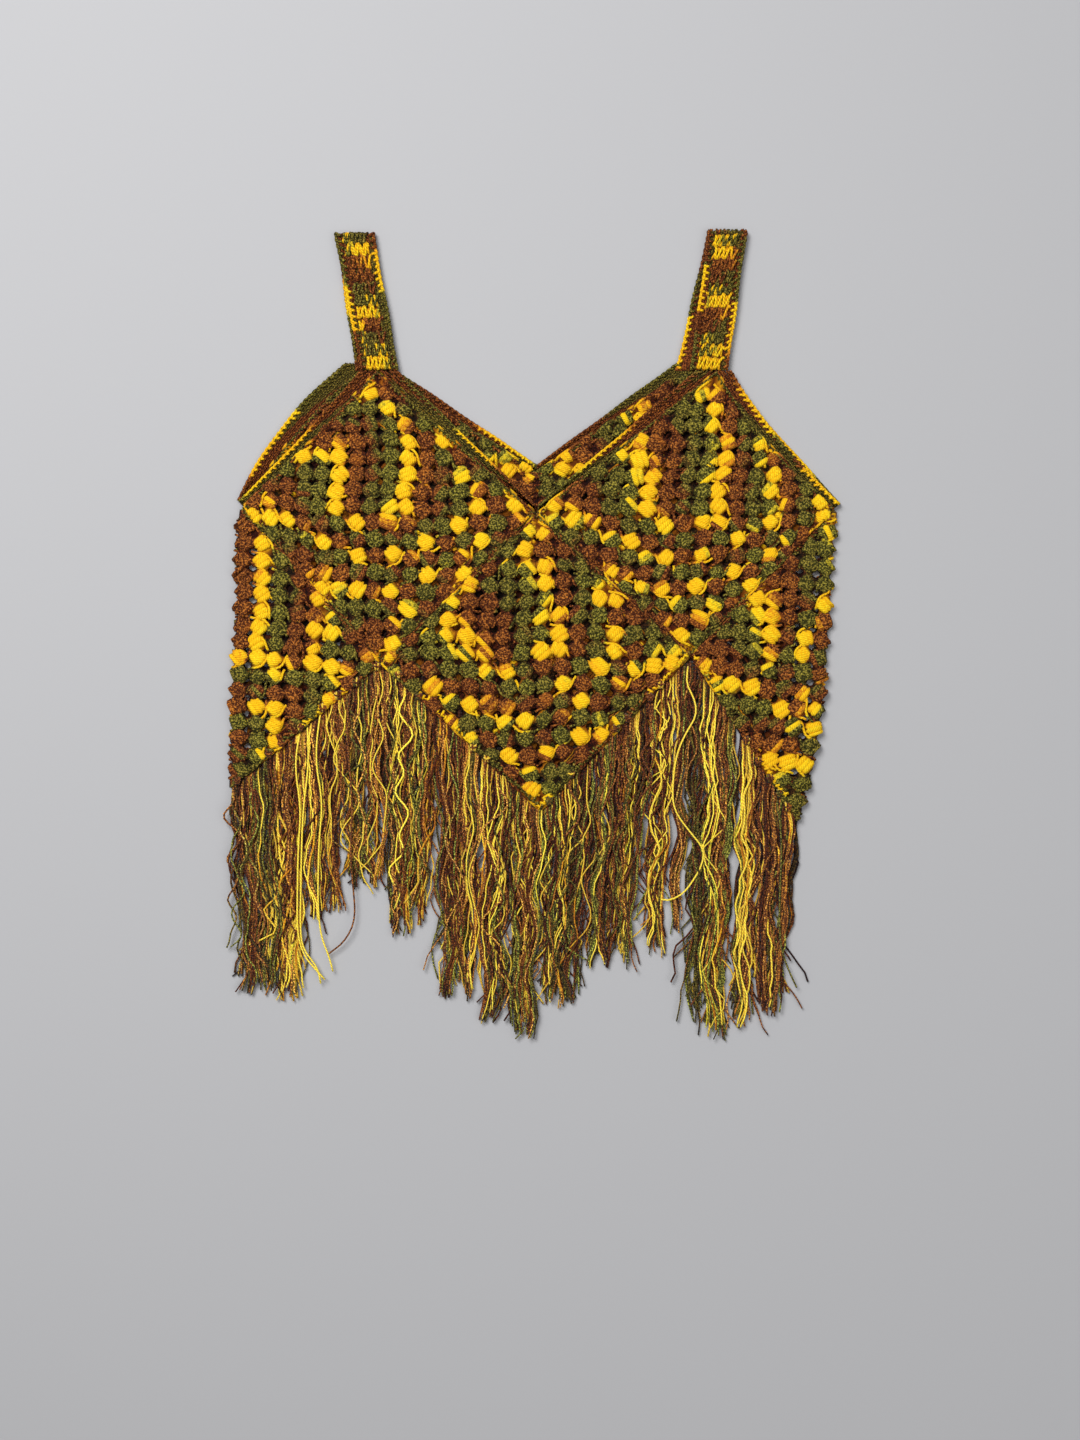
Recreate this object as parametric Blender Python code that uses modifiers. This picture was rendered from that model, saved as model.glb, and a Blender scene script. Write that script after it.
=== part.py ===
"""A crochet crop top, laid flat with its front up: metres, +Z up, the neck towards +Y.

Eight granny squares set on point make the body: three in the front, three in the back, and one at
each side that is folded along its upright diagonal. Two straps fold over at the shoulders, a
narrow edging runs round the neck and the armholes, and a long fringe hangs from the zigzag hem.
The tables hold millimetres, seen from above. Left and right are the viewer's.
"""

import math

import bmesh
import bpy
from mathutils import Vector

MM = 0.001

# The cloth
WALL = 3.0  # one layer of crochet
GAP = 0.3  # clearance at a seam, and between the two layers
BACK_MID = WALL / 2  # height of the back layer's middle, whose underside rests flat
FRONT_MID = BACK_MID + WALL + GAP
LAYER_MID = {"back": BACK_MID, "front": FRONT_MID}
FOLD_REACH = (FRONT_MID - BACK_MID) / 2 + WALL / 2  # from a fold's outermost line to its axis

# How finely a piece is divided
SQUARE_CELLS = 9
EDGING_CELLS = 12
FOLD_CELLS = 4  # round a fold, from one layer to the other
SIDE_ROWS = 14  # down a side square: an even number, so that one row meets its inner corner
SIDE_CELLS = 5  # from a side square's seam to its fold
STRAP_ROWS = 6  # along half a strap
STRAP_CELLS = 3  # across a strap

# Points where pieces of one layer meet, as (x, y).
FRONT = {
    "foot_left": (-117, 197),
    "foot_right": (134, 197),
    "armpit_left": (-214.5, 96.5),
    "armpit_right": (220, 95),
    "neck_dip": (1.5, 92),
    "waist_left": (-112.5, -19),
    "waist_right": (114.5, -13.5),
    "hem_point": (4, -128),
}
BACK = {
    "foot_left": (-124, 203),
    "foot_right": (118, 203),
    "armpit_left": (-215, 96.5),
    "armpit_right": (220.5, 95),
    "neck_dip": (1.5, 122),
    "waist_left": (-112.5, -5),
    "waist_right": (114.5, 0.5),
    "hem_point": (4, -112),
}
MEETING = {"front": FRONT, "back": BACK}

# The flat squares: corners from the top, anticlockwise, and how far the armhole side bows out.
SQUARES = {
    # name: (layer, top, left, bottom, right, armhole side, bow)
    "front_square_left": ("front", "foot_left", "armpit_left", "waist_left", "neck_dip", 0, -1.0),
    "front_square_right": ("front", "foot_right", "neck_dip", "waist_right", "armpit_right", 3, -5.0),
    "front_square_centre": ("front", "neck_dip", "waist_left", "hem_point", "waist_right", 0, 0.0),
    "back_square_left": ("back", "foot_left", "armpit_left", "waist_left", "neck_dip", 0, 7.0),
    "back_square_right": ("back", "foot_right", "neck_dip", "waist_right", "armpit_right", 3, 0.0),
    "back_square_centre": ("back", "neck_dip", "waist_left", "hem_point", "waist_right", 0, 0.0),
}

# The edging: each run lies between a side of a square and an outer line.
EDGINGS = {
    # name: (layer, inner start, inner end, outer start, outer end, inner bow, outer bow)
    "neck_edge_front_left": ("front", "foot_left", "neck_dip", (-100, 197), (0, 98), 0, 0),
    "neck_edge_front_right": ("front", "foot_right", "neck_dip", (117, 197), (3, 98), 0, 0),
    "neck_edge_back_left": ("back", "foot_left", "neck_dip", (-109, 203), (1.5, 128), 0, 0),
    "neck_edge_back_right": ("back", "foot_right", "neck_dip", (103, 203), (1.5, 128), 0, 0),
    "armhole_edge_front_left": ("front", "foot_left", "armpit_left", (-130, 197), (-219, 101), -1, -2),
    "armhole_edge_front_right": ("front", "foot_right", "armpit_right", (146, 197), (225.5, 99), -5, -5),
    "armhole_edge_back_left": ("back", "foot_left", "armpit_left", (-141, 203), (-220, 102), 7, 8),
    "armhole_edge_back_right": ("back", "foot_right", "armpit_right", (133, 203), (226, 99), 0, 0),
}

# The side squares' folds, from the armpit down to the hem, as (x, y).
FOLD_LEFT = ((-220, 96), (-223.5, 62), (-221.5, 30), (-225, -10), (-226.5, -60), (-228, -112))
FOLD_RIGHT = ((225.5, 94), (221.5, 58), (219.5, 20), (217, -10), (215, -46), (208, -92), (197, -136))
SIDE_END_WIDTH = 5.5  # each end of a folded side square is this blunt

# The straps, from the front foot over the shoulder fold to the back foot: the middle line.
STRAP_WIDTH = 29.0
STRAP_TOP_SHARE = 0.9  # above this share of a half, the band runs straight to its fold
STRAP_FOOT_SHARE = 1 / 3  # below this share, the band turns from its slant to its level foot
STRAP_STEP = 0.02  # the share ahead and behind that gives the band's direction
STRAP_LEFT = {
    "front": ((-115, 197.3), (-119, 220), (-123.6, 250), (-134.0, 297)),
    "back": ((-124, 203.3), (-121.5, 222), (-125.5, 250), (-134.0, 297)),
}
STRAP_RIGHT = {
    "front": ((131.5, 197.3), (130, 220), (136, 250), (141.0, 298.5)),
    "back": ((118, 203.3), (124, 222), (131, 250), (141.0, 298.5)),
}

# Soft swells of the front layer, as (x, y, angle in degrees, length, width, height).
SWELLS = (
    (-165, 60, 70, 90, 34, 1.4),
    (-190, -50, 95, 70, 26, 1.8),
    (-60, 20, 50, 110, 40, 1.2),
    (62, 30, -48, 120, 38, 1.5),
    (5, -78, 5, 80, 30, 1.7),
    (178, 30, 100, 80, 30, 1.9),
    (188, -70, 75, 60, 24, 1.5),
    (110, 128, 10, 60, 34, 1.2),
)

# The fringe: a lock is a bunch of knotted yarns. The backing strip lies along the hem.
STRIP_WIDTH = 3.0
STRIP_THICK = 2.4
STRIP_TRIM = {
    # corner of the hem: how far a strip stays short of it, so that two strips don't meet there
    "side_left": 0.5,
    "waist_left": 3.8,
    "hem_point": 1.0,
    "waist_right": 5.0,
    "side_right": 0.5,
}
LOCK_THICK = 2.2
LOCK_ROOT_WIDTH = 3.0
LOCK_TIP_WIDTH = 1.5
LOCK_RINGS = 4
FIRST_RING_DROP = 5.0  # below the strip, where a lock turns to hang straight
LOCK_PITCH = {"front": 4.5, "back": 5.2}  # across, from lock to lock
LOCK_MID = {"front": (FRONT_MID, 4.2), "back": (1.6, 1.6)}  # height at the root and at the tip
BACK_SHORTER = 11.0  # how much sooner the back's locks end
BUNCH_POINT = 6.5  # how much lower the middle of a bunch hangs than its outer locks
TIP_UNEVEN = 4.0  # how far a lock's end lies above or below its neighbours'
TIP_STEP = 2.4  # radians from lock to lock in that pattern
LOCK_SWAY = 1.5  # how far a lock's middle swings aside
SWAY_STEP = 7.0  # radians along a whole hem edge in that pattern
FACES_DOWN = 0.9  # a strip's lower side is where the normal's share along the way down is above this

# Where the locks of each hem edge gather: shares of the edge, then the tips' middle and spread.
BUNCHES = {
    # hem edge: (from corner, to corner, ((start, end, tip x, tip y, spread), ...))
    "side_left": (
        "side_left",
        "waist_left",
        (
            (0.00, 0.28, -203, -265, 28),
            (0.28, 0.50, -180, -270, 15),
            (0.50, 0.72, -156, -214, 20),
            (0.72, 1.00, -126, -188, 26),
        ),
    ),
    "centre_left": (
        "waist_left",
        "hem_point",
        (
            (0.00, 0.20, -101, -222, 13),
            (0.20, 0.35, -86, -214, 11),
            (0.35, 0.62, -56, -270, 20),
            (0.62, 0.82, -32, -287, 17),
            (0.82, 1.00, -9, -297, 14),
        ),
    ),
    "centre_right": (
        "hem_point",
        "waist_right",
        (
            (0.00, 0.40, 17, -275, 27),
            (0.40, 0.62, 47, -248, 16),
            (0.62, 0.76, 65, -246, 11),
            (0.76, 0.90, 87, -240, 12),
            (0.90, 1.00, 106, -220, 9),
        ),
    ),
    "side_right": (
        "waist_right",
        "side_right",
        (
            (0.00, 0.45, 130, -300, 22),
            (0.45, 0.70, 150, -293, 13),
            (0.70, 1.00, 173, -281, 24),
        ),
    ),
}
HEM_CORNERS = {"side_left": (-229.5, -118.5), "side_right": (197.5, -147)}  # under the folds' ends

COLOURS = {
    # name: (linear red, green, blue), then roughness
    "granny_yarn": ((0.30, 0.17, 0.025), 0.85),
    "edging_yarn": ((0.25, 0.15, 0.03), 0.85),
    "strap_yarn": ((0.24, 0.14, 0.03), 0.85),
    "fringe_yarn": ((0.22, 0.16, 0.03), 0.8),
}


def piece_material(name):
    """The named yarn's material, made once."""
    material = bpy.data.materials.get(name)
    if material is None:
        colour, roughness = COLOURS[name]
        material = bpy.data.materials.new(name)
        material.use_nodes = True
        shader = material.node_tree.nodes["Principled BSDF"]
        shader.inputs["Base Color"].default_value = (*colour, 1.0)
        shader.inputs["Roughness"].default_value = roughness
        shader.inputs["Metallic"].default_value = 0.0
    return material


def swell(x, y):
    """How far the front layer is raised at a point, in millimetres."""
    height = 0.0
    for middle_x, middle_y, angle, length, width, top in SWELLS:
        turn = math.radians(angle)
        along = (x - middle_x) * math.cos(turn) + (y - middle_y) * math.sin(turn)
        across = (y - middle_y) * math.cos(turn) - (x - middle_x) * math.sin(turn)
        height += top * math.exp(-((2 * along / length) ** 2) - (2 * across / width) ** 2)
    return height


def at_height(point, layer):
    """The flat point on the middle of its layer, as a Vector in millimetres."""
    lift = swell(point.x, point.y) if layer == "front" else 0.0
    return Vector((point.x, point.y, LAYER_MID[layer] + lift))


def flat_point(place, layer):
    """A table's entry as a Vector: a named meeting point of the layer, or (x, y)."""
    return Vector(MEETING[layer][place] if isinstance(place, str) else place)


def bowed(start, end, bow, outward, share):
    """The point at share of a side that bows outward by bow at its middle."""
    along = end - start
    normal = Vector((along.y, -along.x)).normalized()
    if normal.dot(outward) < 0:
        normal = -normal
    return start + along * share + normal * (4 * share * (1 - share) * bow)


def patch_point(corners, bows, u, v):
    """A point of a four-sided patch with corners top, left, bottom, right (a Coons patch).

    u runs from the top corner to the left one, v from the top corner to the right one.
    """
    top, left, bottom, right = corners
    middle = (top + left + bottom + right) / 4

    def side(number, start, end, share):
        return bowed(start, end, bows[number], (start + end) / 2 - middle, share)

    across = (1 - v) * side(0, top, left, u) + v * side(2, right, bottom, u)
    down = (1 - u) * side(3, top, right, v) + u * side(1, left, bottom, v)
    flat = (1 - u) * (1 - v) * top + u * (1 - v) * left + (1 - u) * v * right + u * v * bottom
    return across + down - flat


def finish_object(name, mesh_data, collection, material):
    obj = bpy.data.objects.new(name, mesh_data)
    obj.data.materials.append(piece_material(material))
    collection.objects.link(obj)
    return obj


def sheet_from_grid(name, columns, rows, place, collection, material):
    """A cloth wall on a grid whose point (column, row) lies at place(column, row), in millimetres."""
    grid = bmesh.new()
    bmesh.ops.create_grid(grid, x_segments=columns, y_segments=rows, size=0.5)
    for vertex in grid.verts:
        column = round((vertex.co.x + 0.5) * columns)
        row = round((vertex.co.y + 0.5) * rows)
        vertex.co = place(column, row) * MM
    mesh_data = bpy.data.meshes.new(name)
    grid.to_mesh(mesh_data)
    grid.free()
    mesh_data.shade_smooth()
    obj = finish_object(name, mesh_data, collection, material)
    wall = obj.modifiers.new("Wall", "SOLIDIFY")
    wall.thickness = WALL * MM
    wall.offset = 0.0
    wall.use_even_offset = True
    return obj


def margin_shares(corners):
    """The shares of the top-left and top-right sides that make half a seam's clearance."""
    top, left, _, right = corners
    to_left = left - top
    to_right = right - top
    sine = abs(to_left.normalized().cross(to_right.normalized()))
    return GAP / 2 / (to_left.length * sine), GAP / 2 / (to_right.length * sine)


def make_patch(name, corners, bows, cells, layer, collection, material):
    """A flat piece of one layer on a four-sided outline, half a clearance inside it all round."""
    columns, rows = cells
    inset_u, inset_v = margin_shares(corners)

    def place(column, row):
        u = inset_u + (1 - 2 * inset_u) * column / columns
        v = inset_v + (1 - 2 * inset_v) * (rows - row) / rows
        return at_height(patch_point(corners, bows, u, v), layer)

    return sheet_from_grid(name, columns, rows, place, collection, material)


def make_squares(collection):
    for name, (layer, top, left, bottom, right, bowed_side, bow) in SQUARES.items():
        corners = [flat_point(place, layer) for place in (top, left, bottom, right)]
        bows = [0.0] * 4
        bows[bowed_side] = bow
        cells = (SQUARE_CELLS, SQUARE_CELLS)
        make_patch(name, corners, bows, cells, layer, collection, "granny_yarn")


def make_edgings(collection):
    for name, (layer, start, end, outer_start, outer_end, bow, outer_bow) in EDGINGS.items():
        inner = [flat_point(place, layer) for place in (start, end)]
        outer = [flat_point(place, layer) for place in (outer_start, outer_end)]
        # The inner side's bow points into the run, and the outer one out of it.
        anticlockwise = (inner[1] - inner[0]).cross(outer[0] - inner[0]) < 0
        if anticlockwise:
            corners, bows = (inner[0], inner[1], outer[1], outer[0]), (-bow, 0, outer_bow, 0)
            cells = (EDGING_CELLS, 1)
        else:
            corners, bows = (inner[0], outer[0], outer[1], inner[1]), (0, outer_bow, 0, -bow)
            cells = (1, EDGING_CELLS)
        make_patch(name, corners, bows, cells, layer, collection, "edging_yarn")


def along_line(points, share):
    """The point at share of the way along a line of points, by length, on a smooth curve."""
    points = [Vector(point) for point in points]
    lengths = [(b - a).length for a, b in zip(points, points[1:])]
    left = share * sum(lengths)
    number = 0
    while number < len(lengths) - 1 and left > lengths[number]:
        left -= lengths[number]
        number += 1
    t = min(left / lengths[number], 1.0)
    a, b = points[number], points[number + 1]
    before = points[number - 1] if number else 2 * a - b
    after = points[number + 2] if number + 2 < len(points) else 2 * b - a
    # A Catmull-Rom curve through the points.
    return 0.5 * (
        2 * a
        + (b - before) * t
        + (2 * before - 5 * a + 4 * b - after) * t * t
        + (3 * a - before - 3 * b + after) * t * t * t
    )


def fold_arc(outermost, inward, front_height, turn):
    """The middle of the wall round a fold. turn runs from 0 in the front layer to 1 in the back."""
    radius = (front_height - BACK_MID) / 2
    angle = math.pi * turn
    axis = outermost + inward * (radius + WALL / 2)
    flat = axis - inward * (radius * math.sin(angle))
    return Vector((flat.x, flat.y, BACK_MID + radius + radius * math.cos(angle)))


def make_side_square(name, fold, side, collection):
    """A granny square folded round the side of the body. side is "left" or "right"."""
    inwards = 1 if side == "left" else -1
    top, bottom = Vector(fold[0]), Vector(fold[-1])
    blunt = Vector((inwards * SIDE_END_WIDTH, 0))

    def seam(layer, share):
        """The seam to the neighbouring squares: from the armpit to the waist and to the hem."""
        waist = flat_point("waist_" + side, layer)
        if share <= 0.5:
            edge = (top + blunt).lerp(waist, 2 * share)
        else:
            edge = waist.lerp(bottom + blunt, 2 * share - 1)
        return edge - Vector((inwards * GAP, 0))

    def place(column, row):
        share = (SIDE_ROWS - row) / SIDE_ROWS
        outermost = along_line(fold, share)
        front_way = (seam("front", share) - outermost).normalized()
        back_way = (seam("back", share) - outermost).normalized()
        inward = ((front_way + back_way) / 2).normalized()
        front_height = at_height(outermost + inward * FOLD_REACH, "front").z
        turn = (column - SIDE_CELLS) / FOLD_CELLS
        if 0 <= turn <= 1:
            return fold_arc(outermost, inward, front_height, turn)
        layer, fold_end, cells_in = ("front", 0.0, SIDE_CELLS - column)
        if turn > 1:
            layer, fold_end, cells_in = ("back", 1.0, column - SIDE_CELLS - FOLD_CELLS)
        start = fold_arc(outermost, inward, front_height, fold_end).to_2d()
        return at_height(start.lerp(seam(layer, share), cells_in / SIDE_CELLS), layer)

    columns = 2 * SIDE_CELLS + FOLD_CELLS
    sheet_from_grid(name, columns, SIDE_ROWS, place, collection, "granny_yarn")


def make_strap(name, halves, collection):
    """A flat band from its front foot up to the shoulder fold and down to its back foot."""

    def place(column, row):
        aside = (column / STRAP_CELLS - 0.5) * STRAP_WIDTH
        turn = min(max((row - STRAP_ROWS) / FOLD_CELLS, 0.0), 1.0)
        layer = "front" if turn < 0.5 else "back"
        top = Vector(halves["front"][-1])
        up = (top - along_line(halves[layer], STRAP_TOP_SHARE)).normalized()
        if 0 < turn < 1:
            flat = fold_arc(top, -up, FRONT_MID, turn)
            return flat + Vector((up.y, -up.x, 0)) * aside
        steps = row if layer == "front" else 2 * STRAP_ROWS + FOLD_CELLS - row
        share = steps / STRAP_ROWS
        middle = along_line(halves[layer], share)
        ahead = along_line(halves[layer], min(share + STRAP_STEP, 1.0))
        behind = along_line(halves[layer], max(share - STRAP_STEP, 0.0))
        way = (ahead - behind).normalized()
        if steps == STRAP_ROWS:
            middle = top - up * FOLD_REACH
            way = up
        # At its foot the band is cut square to the body and not to its own slant.
        cut = Vector((1, 0)).lerp(Vector((way.y, -way.x)), min(share / STRAP_FOOT_SHARE, 1.0))
        flat = middle + cut * aside
        return Vector((flat.x, flat.y, LAYER_MID[layer]))

    rows = 2 * STRAP_ROWS + FOLD_CELLS
    sheet_from_grid(name, STRAP_CELLS, rows, place, collection, "strap_yarn")


def lock_plan(layer, start, end, strip, bunches):
    """The locks of one hem edge: the root's share of the edge, the tip, and the sway."""
    first_share, last_share = strip
    count = round(abs(end.x - start.x) * (last_share - first_share) / LOCK_PITCH[layer])
    locks = []
    for number in range(count):
        share = first_share + (last_share - first_share) * (number + 0.5) / count
        first, last, tip_x, tip_y, spread = next(b for b in bunches if share <= b[1])
        within = (share - first) / (last - first) - 0.5
        # Locks end unevenly: the middle of a bunch hangs lowest.
        tip_y += BUNCH_POINT * (2 * within) ** 2 + TIP_UNEVEN * math.sin(TIP_STEP * number)
        if layer == "back":
            tip_y += BACK_SHORTER
        sway = LOCK_SWAY * math.cos(SWAY_STEP * first)
        locks.append((share, Vector((tip_x + within * spread, tip_y)), sway))
    return locks


def ring_points(root, tip, sway, layer, number):
    """The middle, half width and height of a lock's ring, counted from the root down."""
    part = number / LOCK_RINGS
    top = root.y - FIRST_RING_DROP
    y = top + (tip.y - top) * (number - 1) / (LOCK_RINGS - 1)
    eased = part * part * (3 - 2 * part)
    x = root.x + (tip.x - root.x) * eased + sway * math.sin(math.pi * part)
    width = LOCK_ROOT_WIDTH + (LOCK_TIP_WIDTH - LOCK_ROOT_WIDTH) * part
    high, low = LOCK_MID[layer]
    return x, y, width / 2, high + (low - high) * part


def make_fringe(name, layer, start, end, trims, bunches, collection):
    """A comb: a strip that lies along the hem, and locks drawn down out of its lower side."""
    along = (end - start).normalized()
    outward = Vector((along.y, -along.x))
    if outward.y > 0:
        outward = -outward
    edge_length = (end - start).length
    strip = (trims[0] / edge_length, 1 - trims[1] / edge_length)
    locks = lock_plan(layer, start, end, strip, bunches)
    from_hem = GAP + STRIP_WIDTH / 2
    tooth = LOCK_ROOT_WIDTH / abs(along.x) / edge_length  # a root's share of the edge
    cuts = [strip[0]]
    for share, _, _ in locks:
        cuts += [share - tooth / 2, share + tooth / 2]
    cuts.append(strip[1])

    comb = bmesh.new()
    bmesh.ops.create_cube(comb, size=1.0)
    long_edges = [
        edge for edge in comb.edges if abs(edge.verts[0].co.x - edge.verts[1].co.x) > 0.5
    ]
    bmesh.ops.subdivide_edges(comb, edges=long_edges, cuts=len(cuts) - 2, use_grid_fill=True)
    middle_height = LOCK_MID[layer][0]
    for vertex in comb.verts:
        share = cuts[round((vertex.co.x + 0.5) * (len(cuts) - 1))]
        flat = start.lerp(end, share) + outward * (from_hem - vertex.co.y * STRIP_WIDTH)
        height = middle_height + vertex.co.z * STRIP_THICK
        vertex.co = Vector((flat.x, flat.y, height)) * MM
    bmesh.ops.recalc_face_normals(comb, faces=comb.faces)

    roots = {}
    low_side = outward.to_3d()
    comb.normal_update()
    for face in comb.faces:
        if face.normal.dot(low_side) < FACES_DOWN:
            continue
        middle = face.calc_center_median().to_2d() / MM
        share = (middle - start).dot(along) / edge_length
        nearest = min(range(len(locks)), key=lambda number: abs(locks[number][0] - share))
        if abs(locks[nearest][0] - share) < tooth / 4:
            roots[nearest] = face
    for number, face in roots.items():
        share, tip, sway = locks[number]
        root = face.calc_center_median().to_2d() / MM
        for ring in range(1, LOCK_RINGS + 1):
            x, y, half_width, height = ring_points(root, tip, sway, layer, ring)
            face = bmesh.ops.extrude_discrete_faces(comb, faces=[face])["faces"][0]
            centre = face.calc_center_median()
            for vertex in face.verts:
                to_right = 1 if vertex.co.x > centre.x else -1
                to_top = 1 if vertex.co.z > centre.z else -1
                corner = (x + to_right * half_width, y, height + to_top * LOCK_THICK / 2)
                vertex.co = Vector(corner) * MM
    mesh_data = bpy.data.meshes.new(name)
    comb.to_mesh(mesh_data)
    comb.free()
    finish_object(name, mesh_data, collection, "fringe_yarn")


def make_fringes(collection):
    for layer in ("front", "back"):
        for edge, (first, last, bunches) in BUNCHES.items():
            start, end = (
                Vector(HEM_CORNERS[place]) if place in HEM_CORNERS else flat_point(place, layer)
                for place in (first, last)
            )
            trims = (STRIP_TRIM[first], STRIP_TRIM[last])
            make_fringe(f"fringe_{layer}_{edge}", layer, start, end, trims, bunches, collection)


def stand_on_origin(collection):
    """Moves every piece so that the middle of the whole's underside is the origin."""
    bpy.context.view_layer.update()
    graph = bpy.context.evaluated_depsgraph_get()
    corners = [
        Vector(corner) for obj in collection.objects for corner in obj.evaluated_get(graph).bound_box
    ]
    low = Vector([min(corner[axis] for corner in corners) for axis in range(3)])
    high = Vector([max(corner[axis] for corner in corners) for axis in range(3)])
    middle = (low + high) / 2
    for obj in collection.objects:
        obj.location = (-middle.x, -middle.y, -low.z)


def build():
    for obj in list(bpy.data.objects):
        bpy.data.objects.remove(obj, do_unlink=True)
    top = bpy.data.collections.new("crochet_top")
    bpy.context.scene.collection.children.link(top)
    make_squares(top)
    make_side_square("side_square_left", FOLD_LEFT, "left", top)
    make_side_square("side_square_right", FOLD_RIGHT, "right", top)
    make_strap("strap_left", STRAP_LEFT, top)
    make_strap("strap_right", STRAP_RIGHT, top)
    make_edgings(top)
    make_fringes(top)
    stand_on_origin(top)


build()
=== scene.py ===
# %% [markdown]
# # A crochet top laid flat
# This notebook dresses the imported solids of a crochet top: eight granny squares set on point, two
# straps, a narrow edging and a long fringe. Each solid has the garment's true outline and its soft
# swells, but it is plain. The looks come from yarn: every treble, chain and lock of fringe here is
# a length of yarn, laid on the form of the solid that it stands for.

# %% The frame and its box
import math

import bpy
import numpy as np
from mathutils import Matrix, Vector
from mathutils.bvhtree import BVHTree


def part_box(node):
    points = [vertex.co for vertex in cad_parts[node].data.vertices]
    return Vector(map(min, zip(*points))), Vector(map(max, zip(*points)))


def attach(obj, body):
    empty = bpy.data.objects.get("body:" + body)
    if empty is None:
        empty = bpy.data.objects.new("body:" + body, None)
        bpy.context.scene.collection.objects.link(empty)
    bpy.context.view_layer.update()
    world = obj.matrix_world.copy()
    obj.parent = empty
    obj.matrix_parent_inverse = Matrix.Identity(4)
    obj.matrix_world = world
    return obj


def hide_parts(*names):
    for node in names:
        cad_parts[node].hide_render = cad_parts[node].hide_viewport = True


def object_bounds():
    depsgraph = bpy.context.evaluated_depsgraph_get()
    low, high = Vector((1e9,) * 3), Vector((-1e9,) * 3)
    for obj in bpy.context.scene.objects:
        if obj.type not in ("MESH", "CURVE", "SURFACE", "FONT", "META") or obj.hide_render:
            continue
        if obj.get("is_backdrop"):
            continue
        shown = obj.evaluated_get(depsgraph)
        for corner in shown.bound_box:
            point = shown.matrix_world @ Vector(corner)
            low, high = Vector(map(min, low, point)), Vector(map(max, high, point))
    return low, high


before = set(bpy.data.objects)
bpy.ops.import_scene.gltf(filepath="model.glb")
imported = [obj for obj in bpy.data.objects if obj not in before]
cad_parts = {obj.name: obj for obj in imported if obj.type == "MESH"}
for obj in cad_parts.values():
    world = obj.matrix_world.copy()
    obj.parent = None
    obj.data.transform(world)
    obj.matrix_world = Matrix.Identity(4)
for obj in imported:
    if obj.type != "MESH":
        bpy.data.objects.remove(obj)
cad_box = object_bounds()
MM = 0.001
chance = np.random.default_rng(23)
print("solid box in mm:", [[round(x / MM, 1) for x in corner] for corner in cad_box])

# %% [markdown]
# ## Camera and light
# The top lies on a table and is seen from straight above, so the camera looks down the Z axis and
# the neck points up in the picture. The light is one large soft panel high on the upper left and a
# weak one opposite: a large panel keeps the shadows in the stitches soft, and its slant gives
# every twist of yarn a lit side and a dark side. The Standard view is used, because Blender's
# usual AgX view pales a strong yellow, and this yarn's yellow is as strong as a yellow gets.

# %% Camera
VIEW_CENTRE = (5.3, -59.8)  # mm, the point of the table in the middle of the picture
VIEW_HEIGHT = 1066.0  # mm of table from the picture's top to its bottom
LENS = 40.0  # mm
SENSOR = 36.0  # mm, along the picture's longer side

camera_data = bpy.data.cameras.new("camera")
camera_data.lens = LENS
camera_data.sensor_width = SENSOR
camera = bpy.data.objects.new("camera", camera_data)
camera_height = VIEW_HEIGHT * LENS / SENSOR
camera.location = (VIEW_CENTRE[0] * MM, VIEW_CENTRE[1] * MM, camera_height * MM)
bpy.context.scene.collection.objects.link(camera)
bpy.context.scene.camera = camera
print(f"camera {camera_height:.0f} mm above the table")


# %% Light
PANELS = {
    # panel: (place in m, size in m, power in W)
    "key_panel": ((-0.8, 1.0, 1.9), 1.2, 60.0),
    "fill_panel": ((1.0, -0.6, 1.9), 1.8, 14.0),
}
STUDIO_COLOUR = (0.98, 0.98, 1.0, 1.0)
STUDIO_STRENGTH = 0.25


def panel_light(name, place, size, power):
    """A square light panel that faces the middle of the top."""
    data = bpy.data.lights.new(name, "AREA")
    data.energy = power
    data.size = size
    lamp = bpy.data.objects.new(name, data)
    lamp.location = place
    lamp.rotation_euler = (-Vector(place)).to_track_quat("-Z", "Y").to_euler()
    bpy.context.scene.collection.objects.link(lamp)


for name, (place, size, power) in PANELS.items():
    panel_light(name, place, size, power)
world = bpy.data.worlds.new("studio")
world.use_nodes = True
world.node_tree.nodes["Background"].inputs["Color"].default_value = STUDIO_COLOUR
world.node_tree.nodes["Background"].inputs["Strength"].default_value = STUDIO_STRENGTH
bpy.context.scene.world = world
bpy.context.scene.view_settings.view_transform = "Standard"
print("lights:", list(PANELS))

# %% [markdown]
# ## Writing shaders as sums
# A node tree is easier to read as an expression than as a list of links. The class below stands
# for one output socket. Adding or multiplying it adds the Math node, and `node` adds any other.


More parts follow.
